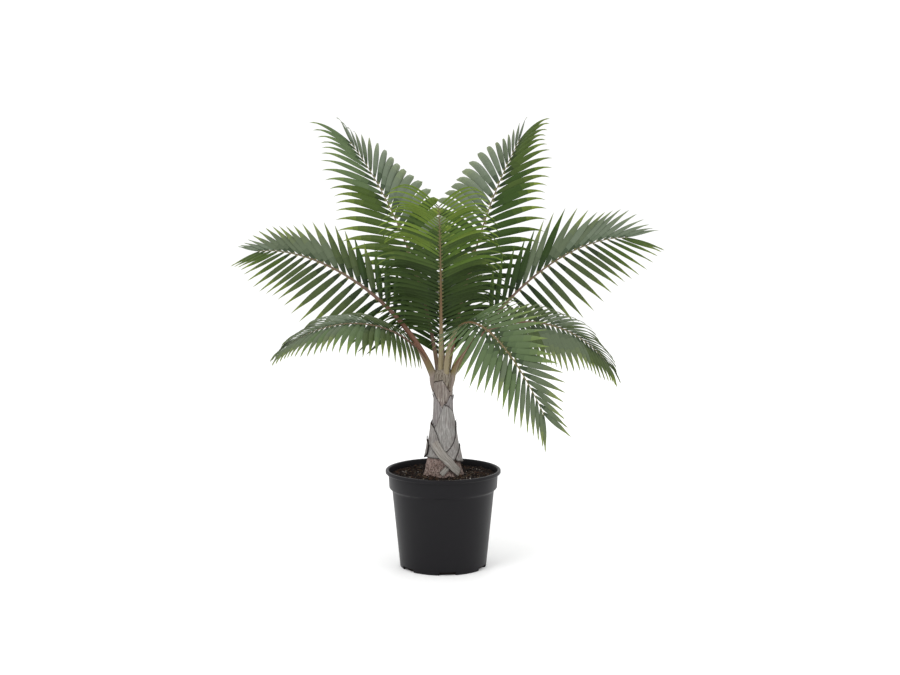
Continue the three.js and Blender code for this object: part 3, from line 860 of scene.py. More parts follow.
@dataclass
class Compost:
    """Crumbly compost with lumps, a few pale grains and root fibres lying on it.

    Attributes:
        clear: How far it stays inside the pot's outer side.
        lump_room: How far the level lies under the solid's top, to leave room for the lumps.
        broad_lumps: The height and wavelength of its broad ripples, and fine_lumps of its fine ones.
        dip: How much lower it lies at the wall.
        crumb_size: The usual crumb's radius, crumb_spread how much sizes differ, as the deviation
            of their logarithm, and crumb_limits the smallest and largest.
        crumb_bumps: The least and most that a corner stands out, as a share of the radius.
        crumb_stretch: The same for a whole crumb along each axis.
        crumb_raise: How much of its radius a crumb's middle lies over the top.
        fibre_turn: How far a fibre turns on its way, as the deviation in radians.
        fibre_arch: How far a fibre lies over the top at its ends, and how much more at its middle.
        crumb_shares: The share of crumbs in each of crumb_tones.
    """

    bottom: float = 0.0025
    clear: float = 0.0024
    foot_radius: float = 0.044
    lump_room: float = 0.002
    broad_lumps: Pair = (0.0011, 0.03)
    fine_lumps: Pair = (0.0006, 0.008)
    dip: float = 0.0022
    rings: int = 80
    sides: int = 220
    crumbs: int = 3000
    crumb_size: float = 0.0015
    crumb_spread: float = 0.42
    crumb_limits: Pair = (0.0007, 0.0042)
    crumb_margin: float = 0.004
    crumb_bumps: Pair = (0.62, 1.25)
    crumb_stretch: Pair = (0.6, 1.2)
    crumb_raise: float = 0.25
    fibres: int = 70
    fibre_margin: float = 0.022
    fibre_reach: Pair = (0.007, 0.019)
    fibre_turn: float = 1.1
    fibre_arch: Pair = (0.0012, 0.0016)
    fibre_radius: float = 0.00032
    fibre_stations: int = 7
    seed: int = 11
    pot: Pot = field(default_factory=Pot)
    ground: PlainFinish = PlainFinish("compost_ground", (24, 18, 15), 0.95, 0.15)
    crumb_tones: tuple[Colour, ...] = (
        (26, 20, 17),
        (38, 28, 22),
        (48, 35, 28),
        (64, 46, 35),
        (92, 86, 80),
        (176, 168, 158),
    )
    crumb_shares: tuple[float, ...] = (0.36, 0.3, 0.19, 0.1, 0.04, 0.01)
    fibre: PlainFinish = PlainFinish("compost_fibre", (122, 104, 82), 0.8, 0.2)

    def __post_init__(self) -> None:
        """Reads the compost's level and radius from the frame."""
        low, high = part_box("soil")
        self.level = high.z - self.lump_room
        self.radius = (high.x - low.x) / 2

    def height(self, x: np.ndarray, y: np.ndarray) -> np.ndarray:
        """Gives the uneven top: the level plus broad and fine ripples, less dip * reach^6.

        Args:
            x: Places to the right.
            y: Places away from the viewer.

        Returns:
            The top's height at each place; reach is its share of the way to the wall.
        """
        points = np.stack([x, y, np.zeros_like(x)], axis=-1)
        reach = np.hypot(x, y) / self.radius
        broad = self.broad_lumps[0] * ripples(points, self.broad_lumps[1], 5)
        fine = self.fine_lumps[0] * ripples(points, self.fine_lumps[1], 6)
        return self.level + (broad + fine) * (reach < 0.98) - self.dip * reach**6

    def body(self) -> Surface:
        """Fills the pot: rings on the uneven top, then down inside the wall to a flat foot.

        Returns:
            The closed surface.
        """
        angle = np.linspace(0, 2 * np.pi, self.sides, endpoint=False)
        spread = np.linspace(0.012, 1, self.rings)[:, None] * self.radius
        x, y = spread * np.sin(angle), -spread * np.cos(angle)
        top = np.stack([x, y, self.height(x, y)], axis=-1)
        pot = self.pot
        wall = [
            (pot.collar_radius - self.clear - 0.001, pot.collar_height + self.clear + 0.001),
            (pot.shoulder_radius - self.clear, pot.shoulder_height + self.clear),
            (pot.base_radius - self.clear - 0.0006, self.bottom + pot.heel),
            (pot.base_radius - self.clear - pot.heel, self.bottom),
        ]
        sides = [polar(radius, height, angle) for radius, height in wall]
        return capped(np.concatenate([top, sides]), self.level, self.bottom)

    def scatter(self, rng: np.random.Generator, count: int, margin: float) -> np.ndarray:
        """Deals out places over the ring between the stem's foot and the wall.

        The square of the radius is drawn evenly, so equal patches get the same number on average.

        Args:
            rng: Draws the places.
            count: How many are drawn.
            margin: How far they stay from the wall.

        Returns:
            The places on the uneven top, shaped (count, 3).
        """
        inner, outer = self.foot_radius**2, (self.radius - margin) ** 2
        radius = np.sqrt(rng.uniform(inner, outer, count))
        angle = rng.uniform(0, 2 * np.pi, count)
        x, y = radius * np.sin(angle), -radius * np.cos(angle)
        return np.stack([x, y, self.height(x, y)], axis=-1)

    def crumb_surface(self, rng: np.random.Generator) -> Surface:
        """Makes lumps: twenty-sided bodies with each corner pushed in or out by a seeded share.

        Args:
            rng: Chooses the places, sizes, shapes and tones.

        Returns:
            The joined lumps, with a tone for each face.
        """
        gold = (1 + math.sqrt(5)) / 2
        corner = np.array([[0, 1, gold], [0, 1, -gold], [0, -1, gold], [0, -1, -gold]], float)
        corners = unit(np.concatenate([np.roll(corner, turn, axis=1) for turn in range(3)]))
        span = np.linalg.norm(corners[:, None] - corners[None], axis=-1)
        near = (span > 0) & (span < 1.1)
        faces = np.array(
            [
                (a, b, c)
                for a in range(12)
                for b in range(a + 1, 12)
                for c in range(b + 1, 12)
                if near[a, b] and near[b, c] and near[a, c]
            ]
        )
        first, second, third = (corners[faces[:, k]] for k in range(3))
        normal = np.cross(second - first, third - first)
        inward = np.einsum("ij,ij->i", normal, corners[faces].sum(axis=1)) < 0
        faces[inward] = faces[inward][:, ::-1]
        sizes = rng.lognormal(math.log(self.crumb_size), self.crumb_spread, self.crumbs)
        size = np.clip(sizes, *self.crumb_limits)
        place = self.scatter(rng, self.crumbs, self.crumb_margin)
        bumps = rng.uniform(*self.crumb_bumps, (self.crumbs, 12, 1))
        shape = corners * bumps * rng.uniform(*self.crumb_stretch, (self.crumbs, 1, 3))
        raised = np.array([0, 0, self.crumb_raise])
        points = place[:, None] + shape * size[:, None, None] + raised * size[:, None, None]
        joined = faces + 12 * np.arange(self.crumbs)[:, None, None]
        tones = rng.choice(len(self.crumb_tones), self.crumbs, p=self.crumb_shares)
        return Surface(points.reshape(-1, 3), [joined.reshape(-1, 3)], slots=np.repeat(tones, 20))

    def fibre_surface(self, rng: np.random.Generator) -> Surface:
        """Lays curved fibres on the top: a heading that turns evenly, a little over the crumbs.

        Args:
            rng: Chooses their places, headings, turns and reaches.

        Returns:
            The joined fibres.
        """
        start = self.scatter(rng, self.fibres, self.fibre_margin)
        heading = rng.uniform(0, 2 * np.pi, self.fibres)[:, None]
        turn = rng.normal(0, self.fibre_turn, self.fibres)[:, None]
        reach = rng.uniform(*self.fibre_reach, self.fibres)[:, None]
        share = np.linspace(0, 1, self.fibre_stations)[None, :]
        angle = heading + turn * share
        x = start[:, :1] + np.cumsum(np.cos(angle), axis=1) * reach / self.fibre_stations
        y = start[:, 1:2] + np.cumsum(np.sin(angle), axis=1) * reach / self.fibre_stations
        ends, middle = self.fibre_arch
        z = self.height(x, y) + ends + middle * np.sin(np.pi * share)
        radius = np.broadcast_to(self.fibre_radius * (1.05 - share**3), x.shape)
        return strands(np.stack([x, y, z], axis=-1), radius)

    def build(self) -> None:
        """Makes the compost in place of its solid, with its crumbs and fibres."""
        rng = np.random.default_rng(self.seed)
        body = self.body().piece("compost_body", [self.ground.material()], "compost", 80)
        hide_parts("soil")
        tones = [
            PlainFinish(f"compost_crumb_{number}", tone, 0.92, 0.15).material()
            for number, tone in enumerate(self.crumb_tones)
        ]
        self.crumb_surface(rng).piece("compost_crumbs", tones, "compost", 20)
        self.fibre_surface(rng).piece("compost_fibres", [self.fibre.material()], "compost")


# Stem and its old leaf sheaths


@dataclass
class Stem:
    """The stem: radius against height, with the root flare and the bark's relief.

    Attributes:
        profile: Rows of height and radius, from the compost to the tip in the crown.
        flare: How far the root flare stands out on average, as a share of the foot's radius.
        lobes: How many swellings the flare has, and lobe_phase the phase of their wave in degrees.
        scar_wave: The wavelength of the leaf scars, whose rings lie half of it apart.
        lump_length: The wavelength of the bark's lumps.
        relief: The height of the bark's relief, which fades out over calm_run below the tip.
        tip_rise: How far the middle of the tip stands over its last ring.
    """

    profile: Table = (
        (0.2193, 0.045),
        (0.230, 0.0425),
        (0.245, 0.0395),
        (0.262, 0.036),
        (0.278, 0.0325),
        (0.305, 0.028),
        (0.335, 0.0236),
        (0.375, 0.021),
        (0.401, 0.0204),
        (0.430, 0.022),
        (0.446, 0.0235),
        (0.456, 0.0225),
        (0.466, 0.016),
        (0.471, 0.006),
    )
    flare: float = 0.045
    flare_top: float = 0.262
    lobes: int = 5
    lobe_phase: float = 40
    scar_wave: float = 0.0062
    lump_length: float = 0.012
    rows: int = 150
    sides: int = 180
    relief: float = 0.0006
    calm_run: float = 0.02
    tip_rise: float = 0.0008
    finish: BarkFinish = BarkFinish(
        "stem_bark", (155, 138, 131), (118, 97, 89), (44, 33, 28), (130, 122, 110), (66, 54, 44)
    )

    def radius(self, height: np.ndarray) -> np.ndarray:
        """Gives the smooth radius at a height."""
        return table_at(self.profile, height)

    def surface(self) -> Surface:
        """Turns the profile round the axis, and adds the root flare and the relief.

        Radius = profile + flare * foot radius * low^2 * (1 + sin(lobes a + phase)) + relief, where
        low runs from 1 at the compost to 0 at the top of the flare. The relief is upright grooves,
        lumps, and scars that are cut in by sin(2 pi height / wave + 1.5 sin(2 a))^8.

        Returns:
            The closed surface.
        """
        foot, head = self.profile[0][0], self.profile[-1][0]
        height = np.linspace(foot, head, self.rows)[:, None]
        angle = np.linspace(0, 2 * np.pi, self.sides, endpoint=False)[None, :]
        low = np.clip((self.flare_top - height) / (self.flare_top - foot), 0, 1)
        lobe = np.sin(self.lobes * angle + math.radians(self.lobe_phase))
        root = self.flare * self.profile[0][1] * low**2 * (1 + lobe)
        smooth = self.radius(height) + root
        points = polar(smooth, height, angle)
        scar = np.sin(height / self.scar_wave * 2 * np.pi + 1.5 * np.sin(2 * angle)) ** 8
        lumps = ripples(points, self.lump_length, 4)
        relief = grooves(angle, height, 3, 60) + 0.8 * lumps - 0.8 * scar
        calm = np.clip((head - height) / self.calm_run, 0, 1)
        rings = polar(smooth + self.relief * relief * calm, height, angle)
        return capped(rings, foot, head + self.tip_rise)

    def build(self) -> None:
        """Makes the stem in place of its solid."""
        piece = self.surface().piece("stem", [self.finish.material()], "stem_bark", 80)
        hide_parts("trunk")


OLD_SHEATH = SheathFinish("sheath_old", (133, 130, 127), (98, 93, 89), (110, 96, 94), (38, 32, 29))
MIDDLE_SHEATH = SheathFinish("sheath_middle", (137, 135, 132), (102, 98, 94), (116, 104, 103), (42, 36, 33))
YOUNG_SHEATH = SheathFinish("sheath_young", (130, 126, 125), (98, 92, 91), (112, 96, 99), (40, 33, 31))
CROWN_SHEATH = SheathFinish("sheath_crown", (127, 119, 112), (94, 84, 79), (104, 82, 78), (44, 34, 30))
TORN_SHEATH = SheathFinish(
    "sheath_torn", (142, 138, 132), (104, 98, 92), (122, 112, 104), (46, 38, 34), Weave.ALONG
)


@dataclass
class Sheath:
    """A sheath laid round the stem between a lower and an upper edge, which peels out at its top.

    Attributes:
        node: The solid that it stands for, or None.
        layer: How many sheaths lie under it.
        flare: How far its highest edge stands off.
        top: Its upper edge: angle in degrees and height.
        bottom: Its lower edge.
        span: The angles that it covers, in degrees from the front.
        gap: How far the innermost sheath stands off the stem, and step how much more each next one.
        flare_run: How far below its upper edge it begins to peel.
        rim: How far the painted shadow along its edges reaches in.
        ragged: How far its torn edges stray.
        fine_relief: The height of its fine ridges, and broad_relief of its broad ones.
        thinning: How much of its thickness is lost at the upper edge, over thin_run.
    """

    name: str
    node: str | None
    layer: float
    flare: float
    top: Table
    bottom: Table
    finish: SheathFinish
    seed: int
    span: Pair = (-180.0, 180.0)
    thickness: float = 0.0018
    gap: float = 0.0003
    step: float = 0.0021
    flare_run: float = 0.010
    rim: float = 0.0021
    columns: int = 260
    rows: int = 44
    ragged: float = 0.0007
    fine_relief: float = 0.00026
    broad_relief: float = 0.0002
    thinning: float = 0.65
    thin_run: float = 0.004
    stem: Stem = field(default_factory=Stem)

    @property
    def closed(self) -> bool:
        """Tells whether the sheath closes on itself."""
        return self.span[1] - self.span[0] == 360

    def edge(self, table: Table, angle: np.ndarray) -> np.ndarray:
        """Gives an edge's height at an angle in degrees, round the back where it is closed."""
        rows = (*table, (180.0, table[0][1])) if self.closed else table
        return table_at(rows, angle)

    def surface(self) -> Surface:
        """Lays a grid round the stem: radius = stem + lift + peel + thickness + relief.

        The peel grows over the last run below the upper edge, with the square of the edge's share
        of its own highest point. The relief is upright grooves, and the sheath thins out towards
        its upper edge. The edge value is 1.7 times the sum of exp(-(d / rim)^2) for the distance d
        to each of its edges, with 0.7 of that for the lower one, and at most 1; the finish lays
        painted shadow along the edges by it.

        Returns:
            The closed surface, with its edge values.
        """
        angle = np.linspace(*self.span, self.columns, endpoint=not self.closed)[None, :]
        turn = np.radians(angle)
        tear = self.ragged * grooves(turn, np.zeros_like(turn), self.seed, 70)
        high = self.edge(self.top, angle) + tear
        low = self.edge(self.bottom, angle) + 0.5 * np.roll(tear, 31)
        lowest = min(height for _, height in self.top)
        highest = max(height for _, height in self.top)
        share = np.linspace(0, 1, self.rows)[:, None] ** 0.8
        height = low + (high - low) * share
        rise = np.clip((high - lowest) / (highest - lowest), 0, 1)
        near = np.clip(1 - (high - height) / self.flare_run, 0, 1)
        peel = self.flare * rise**2 * near**1.4
        lift = self.gap + self.layer * self.step + peel
        fine = grooves(turn, height, self.seed + 1, 110)
        broad = grooves(turn, height, self.seed + 2, 24)
        relief = self.fine_relief * fine + self.broad_relief * broad
        thin = 1 - self.thinning * np.clip(1 - (high - height) / self.thin_run, 0, 1)
        inside = self.stem.radius(height) + lift
        outer = polar(inside + (self.thickness + relief) * thin, height, turn)
        inner = polar(inside, height, turn)
        made = shell(outer, inner, self.closed)
        # The edge value, by which the finish lays painted shadow along the sheath's edges.
        rim = np.exp(-(((high - height) / self.rim) ** 2)) + 0.7 * np.exp(-(((height - low) / self.rim) ** 2))
        if not self.closed:
            for end in self.span:
                rim = rim + np.exp(-((np.radians(angle - end) * 0.035 / self.rim) ** 2))
        made.edge = np.clip(1.7 * np.tile(rim.ravel(), 2), 0, 1)
        return made

    def build(self) -> None:
        """Makes the sheath, in place of its solid where it has one."""
        piece = self.surface().piece(self.name, [self.finish.material()], "sheath_fibre", 60)
        if self.node:
            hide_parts(self.node)


@dataclass
class Strap:
    """A torn sheath margin laid round the stem along a path.

    Attributes:
        path: Angle in degrees from the front and height, at even shares of its length.
        width: Its width at each of those places.
        lift: How far its inner side stands off the stem there.
        ridges: The height of the ridges along it.
        curl: How far its two margins stand off further.
    """

    name: str
    path: Table
    width: tuple[float, ...]
    lift: tuple[float, ...]
    seed: int
    thickness: float = 0.0021
    ridges: float = 0.00028
    curl: float = 0.0006
    rows: int = 90
    columns: int = 30
    finish: SheathFinish = TORN_SHEATH
    stem: Stem = field(default_factory=Stem)

    def surface(self) -> Surface:
        """Lays a grid along the path: each place is turned by its offset across the path.

        With run and climb the path's steps round and up the stem, an offset of h across it moves
        the angle by -climb / length * h / radius and the height by run / length * h.

        Returns:
            The closed surface, with its UV map and edge values.
        """
        share = np.linspace(0, 1, self.rows)[:, None]
        keys = np.linspace(0, 1, len(self.path))
        angle = np.interp(share, keys, [row[0] for row in self.path])
        height = np.interp(share, keys, [row[1] for row in self.path])
        width = np.interp(share, keys, self.width)
        lift = np.interp(share, keys, self.lift)
        radius = self.stem.radius(height) + lift
        run = np.gradient(np.radians(angle[:, 0]))[:, None] * radius
        climb = np.gradient(height[:, 0])[:, None]
        length = np.hypot(run, climb)
        side = np.linspace(-1, 1, self.columns)[None, :]
        tear = 1 + 0.05 * grooves(share * 2, side * 0 + np.sign(side) * 0.01, self.seed, 60)
        offset = side * width / 2 * tear
        turn = np.radians(angle) - climb / length * offset / radius
        level = height + run / length * offset
        ridge = self.ridges * grooves(side * 1.4, share * 0.03, self.seed + 1, 60)
        inside = self.stem.radius(level) + lift + self.curl * side**4
        body = self.thickness * (1 - 0.55 * side**6) + ridge
        outer, inner = polar(inside + body, level, turn), polar(inside, level, turn)
        made = shell(outer, inner, False)
        far = np.cumsum(length, axis=0)
        uv = np.stack(np.broadcast_arrays(offset, far), axis=-1).reshape(-1, 2)
        made.uv = np.tile(uv, (2, 1))
        # The edge value at the margins and the end, by which the finish lays painted shadow there.
        rim = np.clip((np.abs(side) - 0.86) / 0.14, 0, 1) ** 1.5 + 0 * share
        ends = np.exp(-(((1 - share) / 0.02) ** 2))
        made.edge = np.clip(np.tile((rim * 0.9 + ends).ravel(), 2), 0, 1)
        return made

    def build(self) -> None:
        """Makes the strap, which stands for no node of its own."""
        self.surface().piece(self.name, [self.finish.material()], "sheath_fibre", 60)


@dataclass
class EdgeFibres:
    """Dark fibres that stand out of the sheaths' torn edges and crotches.

    Attributes:
        roots: Rows of lowest and highest angle in degrees, their heights, the lift, and a count.
        length: The shortest and the longest fibre, and radius half its thickness at the root.
    """

    roots: tuple[tuple[float, float, float, float, float, int], ...] = (
        (-100, -62, 0.303, 0.297, 0.0085, 26),
        (-75, -55, 0.338, 0.340, 0.007, 10),
        (60, 95, 0.318, 0.342, 0.007, 16),
        (-110, -75, 0.398, 0.420, 0.004, 16),
        (62, 110, 0.396, 0.404, 0.004, 18),
        (8, 20, 0.392, 0.388, 0.003, 8),
        (30, 60, 0.256, 0.250, 0.010, 14),
        (-40, 30, 0.250, 0.236, 0.006, 16),
        (100, 250, 0.283, 0.285, 0.010, 34),
        (120, 240, 0.352, 0.352, 0.007, 26),
    )
    length: Pair = (0.004, 0.013)
    radius: float = 0.0004
    seed: int = 23
    finish: PlainFinish = PlainFinish("sheath_fibre_dark", (54, 40, 34), 0.85, 0.2)
    stem: Stem = field(default_factory=Stem)

    def build(self) -> None:
        """Bends each fibre up and out: place = root + up * s + out * s^2, with a seeded lean."""
        rng = np.random.default_rng(self.seed)
        share = np.linspace(0, 1, 6)[None, :]
        paths, radii = [], []
        for first, last, low, high, lift, count in self.roots:
            place = rng.uniform(0, 1, (count, 1))
            angle = np.radians(first + (last - first) * place)
            height = low + (high - low) * place + rng.normal(0, 0.0012, (count, 1))
            reach = rng.uniform(*self.length, (count, 1))
            lean = rng.normal(0, 0.35, (count, 1))
            bend = rng.uniform(0.05, 0.4, (count, 1))
            level = height + reach * share * (1 - 0.3 * bend)
            radius = self.stem.radius(height) + lift + reach * bend * share**2
            turn = angle + lean * reach * share / radius
            paths.append(polar(radius, level, turn))
            radii.append(np.broadcast_to(self.radius * (1.03 - share), level.shape))
        made = strands(np.concatenate(paths), np.concatenate(radii))
        made.piece("sheath_fibres", [self.finish.material()], "sheath_fibre")


# Fronds


@dataclass(frozen=True)
class Line:
    """Places on a frond's middle line, with its direction, right-hand side and upper side."""

    point: np.ndarray
    along: np.ndarray
    across: np.ndarray
    over: np.ndarray


@dataclass(frozen=True)
class Blade:
    """The make of one leaflet.

    Attributes:
        stations: How many rings of points it has, crowded towards its root by the power crowding.
        across: Where its points lie across it, from one edge to the other.
        fold: How high its middle stands, and pleat its pleats, as shares of half its width.
        thickness: Its thickness along the middle.
        neck: Its least width, up to where it runs out to its point.
        offset: How far from the middle of the stalk it starts.
        twist: The most that it turns about itself on its way, in degrees.
        root: Its width at its root, as a share of the full width.
    """

    stations: int = 16
    crowding: float = 1.25
    across: tuple[float, ...] = (-1, -0.8, -0.52, -0.26, -0.07, 0.07, 0.26, 0.52, 0.8, 1)
    fold: float = 0.30
    pleat: float = 0.035
    thickness: float = 0.0006
    neck: float = 0.0030
    offset: float = 0.0010
    twist: float = 14.0
    root: float = 0.30

    def outline(self, share: np.ndarray, blunt: np.ndarray) -> np.ndarray:
        """Gives the width at a share of the length: a narrow root, a belly and a drawn-out point.

        The pointed form is sin(pi (0.94 s)^0.85) (1 - s^5). The blunt form stays wide to a round
        end: sin(pi (0.6 s)^0.85) (1 - s^9)^0.5.

        Args:
            share: Shares of the length.
            blunt: 0 for a pointed leaflet, 1 for a blunt one.

        Returns:
            Shares of the full width.
        """
        pointed = np.sin(np.pi * (0.94 * share) ** 0.85) * (1 - share**5)
        full = np.sin(np.pi * (0.6 * share) ** 0.85) * np.sqrt(1 - share**9)
        return self.root * (1 - share) + (1 - self.root) * (pointed + (full - pointed) * blunt)


@dataclass
class Frond:
    """A feather frond: a stalk that arches from the crown, with leaflets in two rows.

    Attributes:
        nodes: The solids that it stands for.
        base: Where it leaves the crown.
        heading: Its direction seen from above in degrees, and sway how far that turns.
        rise: Its climb at the foot in degrees, fall at the end, and bend how late it falls.
        roll: How far the two rows are turned about the line, at the foot and the end.
        vee: How far the leaflets are raised, in degrees.
        spread: The angle between leaflet and line, at the foot and the end.
        skew: How much wider the left-hand row spreads, and the right-hand row less, in degrees.
        ruffle: How unevenly the leaflets are raised, in degrees.
        dapple: How far a leaflet's tone may stray along the row, as a share of the row.
        droop: How strongly the leaflets are pulled down.
        bare: The share of the line without leaflets.
        tip: The last leaflet's length as a share of the longest.
        leaf: The longest leaflet's length, width its width, and pairs how many there are in a row.
        stalk: The width of the solid's stalk at its foot, of which this one has the share slim.
        right: The right-hand row's tones from the foot to the end, and left the other row's; a first band of
            the shade tone is painted shade near the crown, and the grey-green tones carry a painted sheen.
        blunt: How blunt the leaflets half way along the right-hand row and the left-hand row end.
        wander: How far a leaflet strays in spread, in degrees, and in length and droop, as shares.
        widths: The least and most that a leaflet's width is multiplied by.
        shift: How far the tones along a leaflet stray, as a share of its length.
        last: Where on the line the last leaflet starts at the latest.
        clasp: How far the stalk's foot runs down the stem.
        taper: The stalk's width along the line, as shares of that at its foot, and thinnest its least.
        clasp_widening: How much wider the clasp's lower end is, and clasp_thinning how much thinner.
        oval: The stalk's depth as a share of its width, of which the upper half keeps flat_back.
    """

    name: str
    nodes: tuple[str, ...]
    seed: int
    base: Triple
    heading: float
    sway: float
    rise: float
    fall: float
    bend: float
    length: float
    right: tuple[LeafTone, ...]
    left: tuple[LeafTone, ...]
    finish: StalkFinish
    blunt: Pair = (0, 0)
    roll: Pair = (0, 0)
    vee: float = 25
    spread: Pair = (62, 14)
    skew: float = 0
    ruffle: float = 3
    dapple: float = 0.07
    droop: float = 0.5
    bare: float = 0.2
    tip: float = 0.55
    leaf: float = 0.178
    width: float = 0.019
    stalk: float = 0.016
    pairs: int = 22
    slot: str = "frond_green"
    blade: Blade = Blade()
    wander: Triple = (2, 0.05, 0.2)
    widths: Pair = (0.9, 1.08)
    shift: float = 0.05
    last: float = 0.997
    clasp: float = 0.034
    slim: float = 0.84
    taper: Table = ((0, 1), (0.12, 0.74), (0.28, 0.5), (0.45, 0.34), (0.7, 0.22), (1, 0.1))
    thinnest: float = 0.0017
    clasp_widening: float = 0.55
    clasp_thinning: float = 0.45
    oval: float = 0.9
    flat_back: float = 0.72
    stalk_rings: int = 84
    stalk_sides: int = 14
    clasp_rings: int = 14
    steps: int = 256

    def directions(self, x: np.ndarray) -> tuple[np.ndarray, np.ndarray]:
        """Gives the line's heading and direction, which turn with powers of the share x.

        The heading is heading + sway x^1.5, and the climb rise + (fall - rise) x^bend.

        Args:
            x: Shares of the length.

        Returns:
            The heading in radians, and the unit direction.
        """
        heading = np.radians(self.heading + self.sway * x**1.5)
        climb = np.radians(self.rise + (self.fall - self.rise) * x**self.bend)
        flat = np.cos(climb)
        along = np.stack([flat * np.cos(heading), flat * np.sin(heading), np.sin(climb)], axis=-1)
        return heading, along

    def line(self, x: np.ndarray) -> Line:
        """Gives the middle line at shares x: the sum of its directions' small steps.

        The right-hand side is level, made square to the line, and turned by the roll.

        Args:
            x: Shares of the length.

        Returns:
            The line's frames.
        """
        fine = np.linspace(0, 1, self.steps + 1)
        _, walk = self.directions(fine)
        steps = (walk[1:] + walk[:-1]) * self.length / self.steps / 2
        places = np.array(self.base) + np.concatenate([[[0, 0, 0]], np.cumsum(steps, axis=0)])
        point = np.stack([np.interp(x, fine, places[:, k]) for k in range(3)], axis=-1)
        heading, along = self.directions(x)
        right = np.stack([np.sin(heading), -np.cos(heading), np.zeros_like(heading)], axis=-1)
        right = unit(right - along * (right * along).sum(axis=-1, keepdims=True))
        up = np.cross(right, along)
        leafy = np.clip((x - self.bare) / (1 - self.bare), 0, None)
        roll = np.radians(self.roll[0] + (self.roll[1] - self.roll[0]) * leafy)[..., None]
        across = right * np.cos(roll) + up * np.sin(roll)
        over = up * np.cos(roll) - right * np.sin(roll)
        return Line(point, along, across, over)

    def leaflets(self) -> Surface:
        """Grows the leaflets: a folded blade carried along a drooping line, for all at once.

        At a share s of the row a leaflet's length is leaf * (0.7 + 0.3 sin(pi s^0.75)) *
        (1 - (1 - tip / 0.7) s^3). It starts between the line and its outward side, and its heading
        is pulled down by sag * (0.35 u + u^4) at a share u of its length. Its section is a low
        roof with fine pleats, closed by a lower side.

        Returns:
            The joined leaflets, with a tone for each face.
        """
        blade = self.blade
        rng = np.random.default_rng(100 + self.seed)
        item = np.arange(2 * self.pairs)
        side = np.where(item % 2 == 0, 1.0, -1.0)
        share = np.clip((item // 2) / (self.pairs - 1) + side * 0.25 / self.pairs, 0, 1)
        line = self.line(np.minimum(self.bare + (1 - self.bare) * share, self.last))
        wander_spread, wander_length, wander_droop = self.wander
        spread = self.spread[0] + (self.spread[1] - self.spread[0]) * share**1.2
        uneven = self.skew * side * (1 - share**2)
        spread = np.radians(spread - uneven + wander_spread * wobble(self.seed, item, 1))[:, None]
        lift = np.radians(self.vee * (1 - 0.5 * share) + self.ruffle * wobble(self.seed, item, 2))[:, None]
        outward = line.across * side[:, None] * np.cos(lift) + line.over * np.sin(lift)
        start = line.along * np.cos(spread) + outward * np.sin(spread)
        swell = 0.7 + 0.3 * np.sin(np.pi * share**0.75)
        fade = 1 - (1 - self.tip / 0.7) * share**3
        length = self.leaf * swell * fade * (1 + wander_length * wobble(self.seed, item, 3))
        sag = self.droop * (1 + wander_droop * wobble(self.seed, item, 4))
        width = self.width * (0.55 + 0.45 * np.sin(np.pi * np.minimum(1, share + 0.1)))
        width *= rng.uniform(*self.widths, len(item))

        u = np.linspace(0, 1, blade.stations)[None, :, None] ** blade.crowding
        pull = unit(start[:, None] + DOWN * sag[:, None, None] * (0.35 * u + u**4))
        walk = (pull[:, 1:] + pull[:, :-1]) * np.diff(u, axis=1) * (length / 2)[:, None, None]
        foot = line.point + line.across * side[:, None] * blade.offset
        centre = foot[:, None] + np.concatenate([0 * walk[:, :1], np.cumsum(walk, axis=1)], axis=1)
        along = line.along[:, None]
        edge = unit(along - pull * (along * pull).sum(axis=-1, keepdims=True)) * side[:, None, None]
        face = np.cross(pull, edge)
        twist = np.radians(blade.twist * rng.uniform(-1, 1, len(item)))[:, None, None] * u
        flat = edge * np.cos(twist) + face * np.sin(twist)
        roof = face * np.cos(twist) - edge * np.sin(twist)

        t = np.array(blade.across)
        middle = np.clip(3 * np.sin(np.pi * share) - 1.2, 0, 1)
        blunt = np.where(side > 0, self.blunt[0], self.blunt[1]) * middle
        width *= 1 + 0.42 * blunt
        half = np.maximum(blade.neck, width[:, None] * blade.outline(u[:, :, 0], blunt[:, None])) / 2
        half = (half * np.clip((1 - u[:, :, 0]) / 0.06, 0.06, 1))[..., None]
        rise = half * (blade.fold * (1 - np.abs(t)) + blade.pleat * np.cos(7 * np.pi * t))
        depth = np.minimum(blade.thickness, half * 0.5) * (1 - t**2)
        raised = roof[:, :, None] * rise[..., None]
        top = centre[:, :, None] + flat[:, :, None] * (half * t)[..., None] + raised
        bottom = top - roof[:, :, None] * depth[..., None]
        points = np.concatenate([top, bottom[:, :, -2:0:-1]], axis=2)
        faces = tube_faces(*points.shape[:3])
        return Surface(points.reshape(-1, 3), faces, slots=self.tones(side, share, rng, points.shape))

    def tones(
        self,
        side: np.ndarray,
        share: np.ndarray,
        rng: np.random.Generator,
        shape: tuple[int, ...],
    ) -> np.ndarray:
        """Deals a tone to each face by its share of the leaflet, its side, its row and its place.

        Args:
            side: 1 for a leaflet of the right-hand row, -1 for the left.
            share: Where each leaflet stands along the leafy part of the line.
            rng: Shifts each leaflet's tones a little, and where the tone of the foot ends.
            shape: How the points lie: leaflets, stations, points round.

        Returns:
            The material number of each face: walls first, then feet, then heads.
        """
        count, stations, around = shape[:3]
        steps = self.right[0].steps
        middle = ((np.arange(stations - 1) + 0.5) / (stations - 1)) ** self.blade.crowding
        shifted = middle[None, :] + rng.normal(0, self.shift, (count, 1))
        step = np.clip((shifted * steps).astype(int), 0, steps - 1) + 1
        upper = np.arange(around) < len(self.blade.across) - 1
        tone = step[:, :, None] + np.where(upper, 0, steps)[None, None, :]
        tone[:, 0] = 0
        bands = len(self.right)
        band = np.clip(((share + rng.normal(0, self.dapple, count)) * bands).astype(int), 0, bands - 1)
        row = np.where(side > 0, band, bands + band) * (2 * steps + 1)
        walls = (tone + row[:, None, None]).ravel()
        return np.concatenate([walls, row, tone[:, -1, 0] + row])

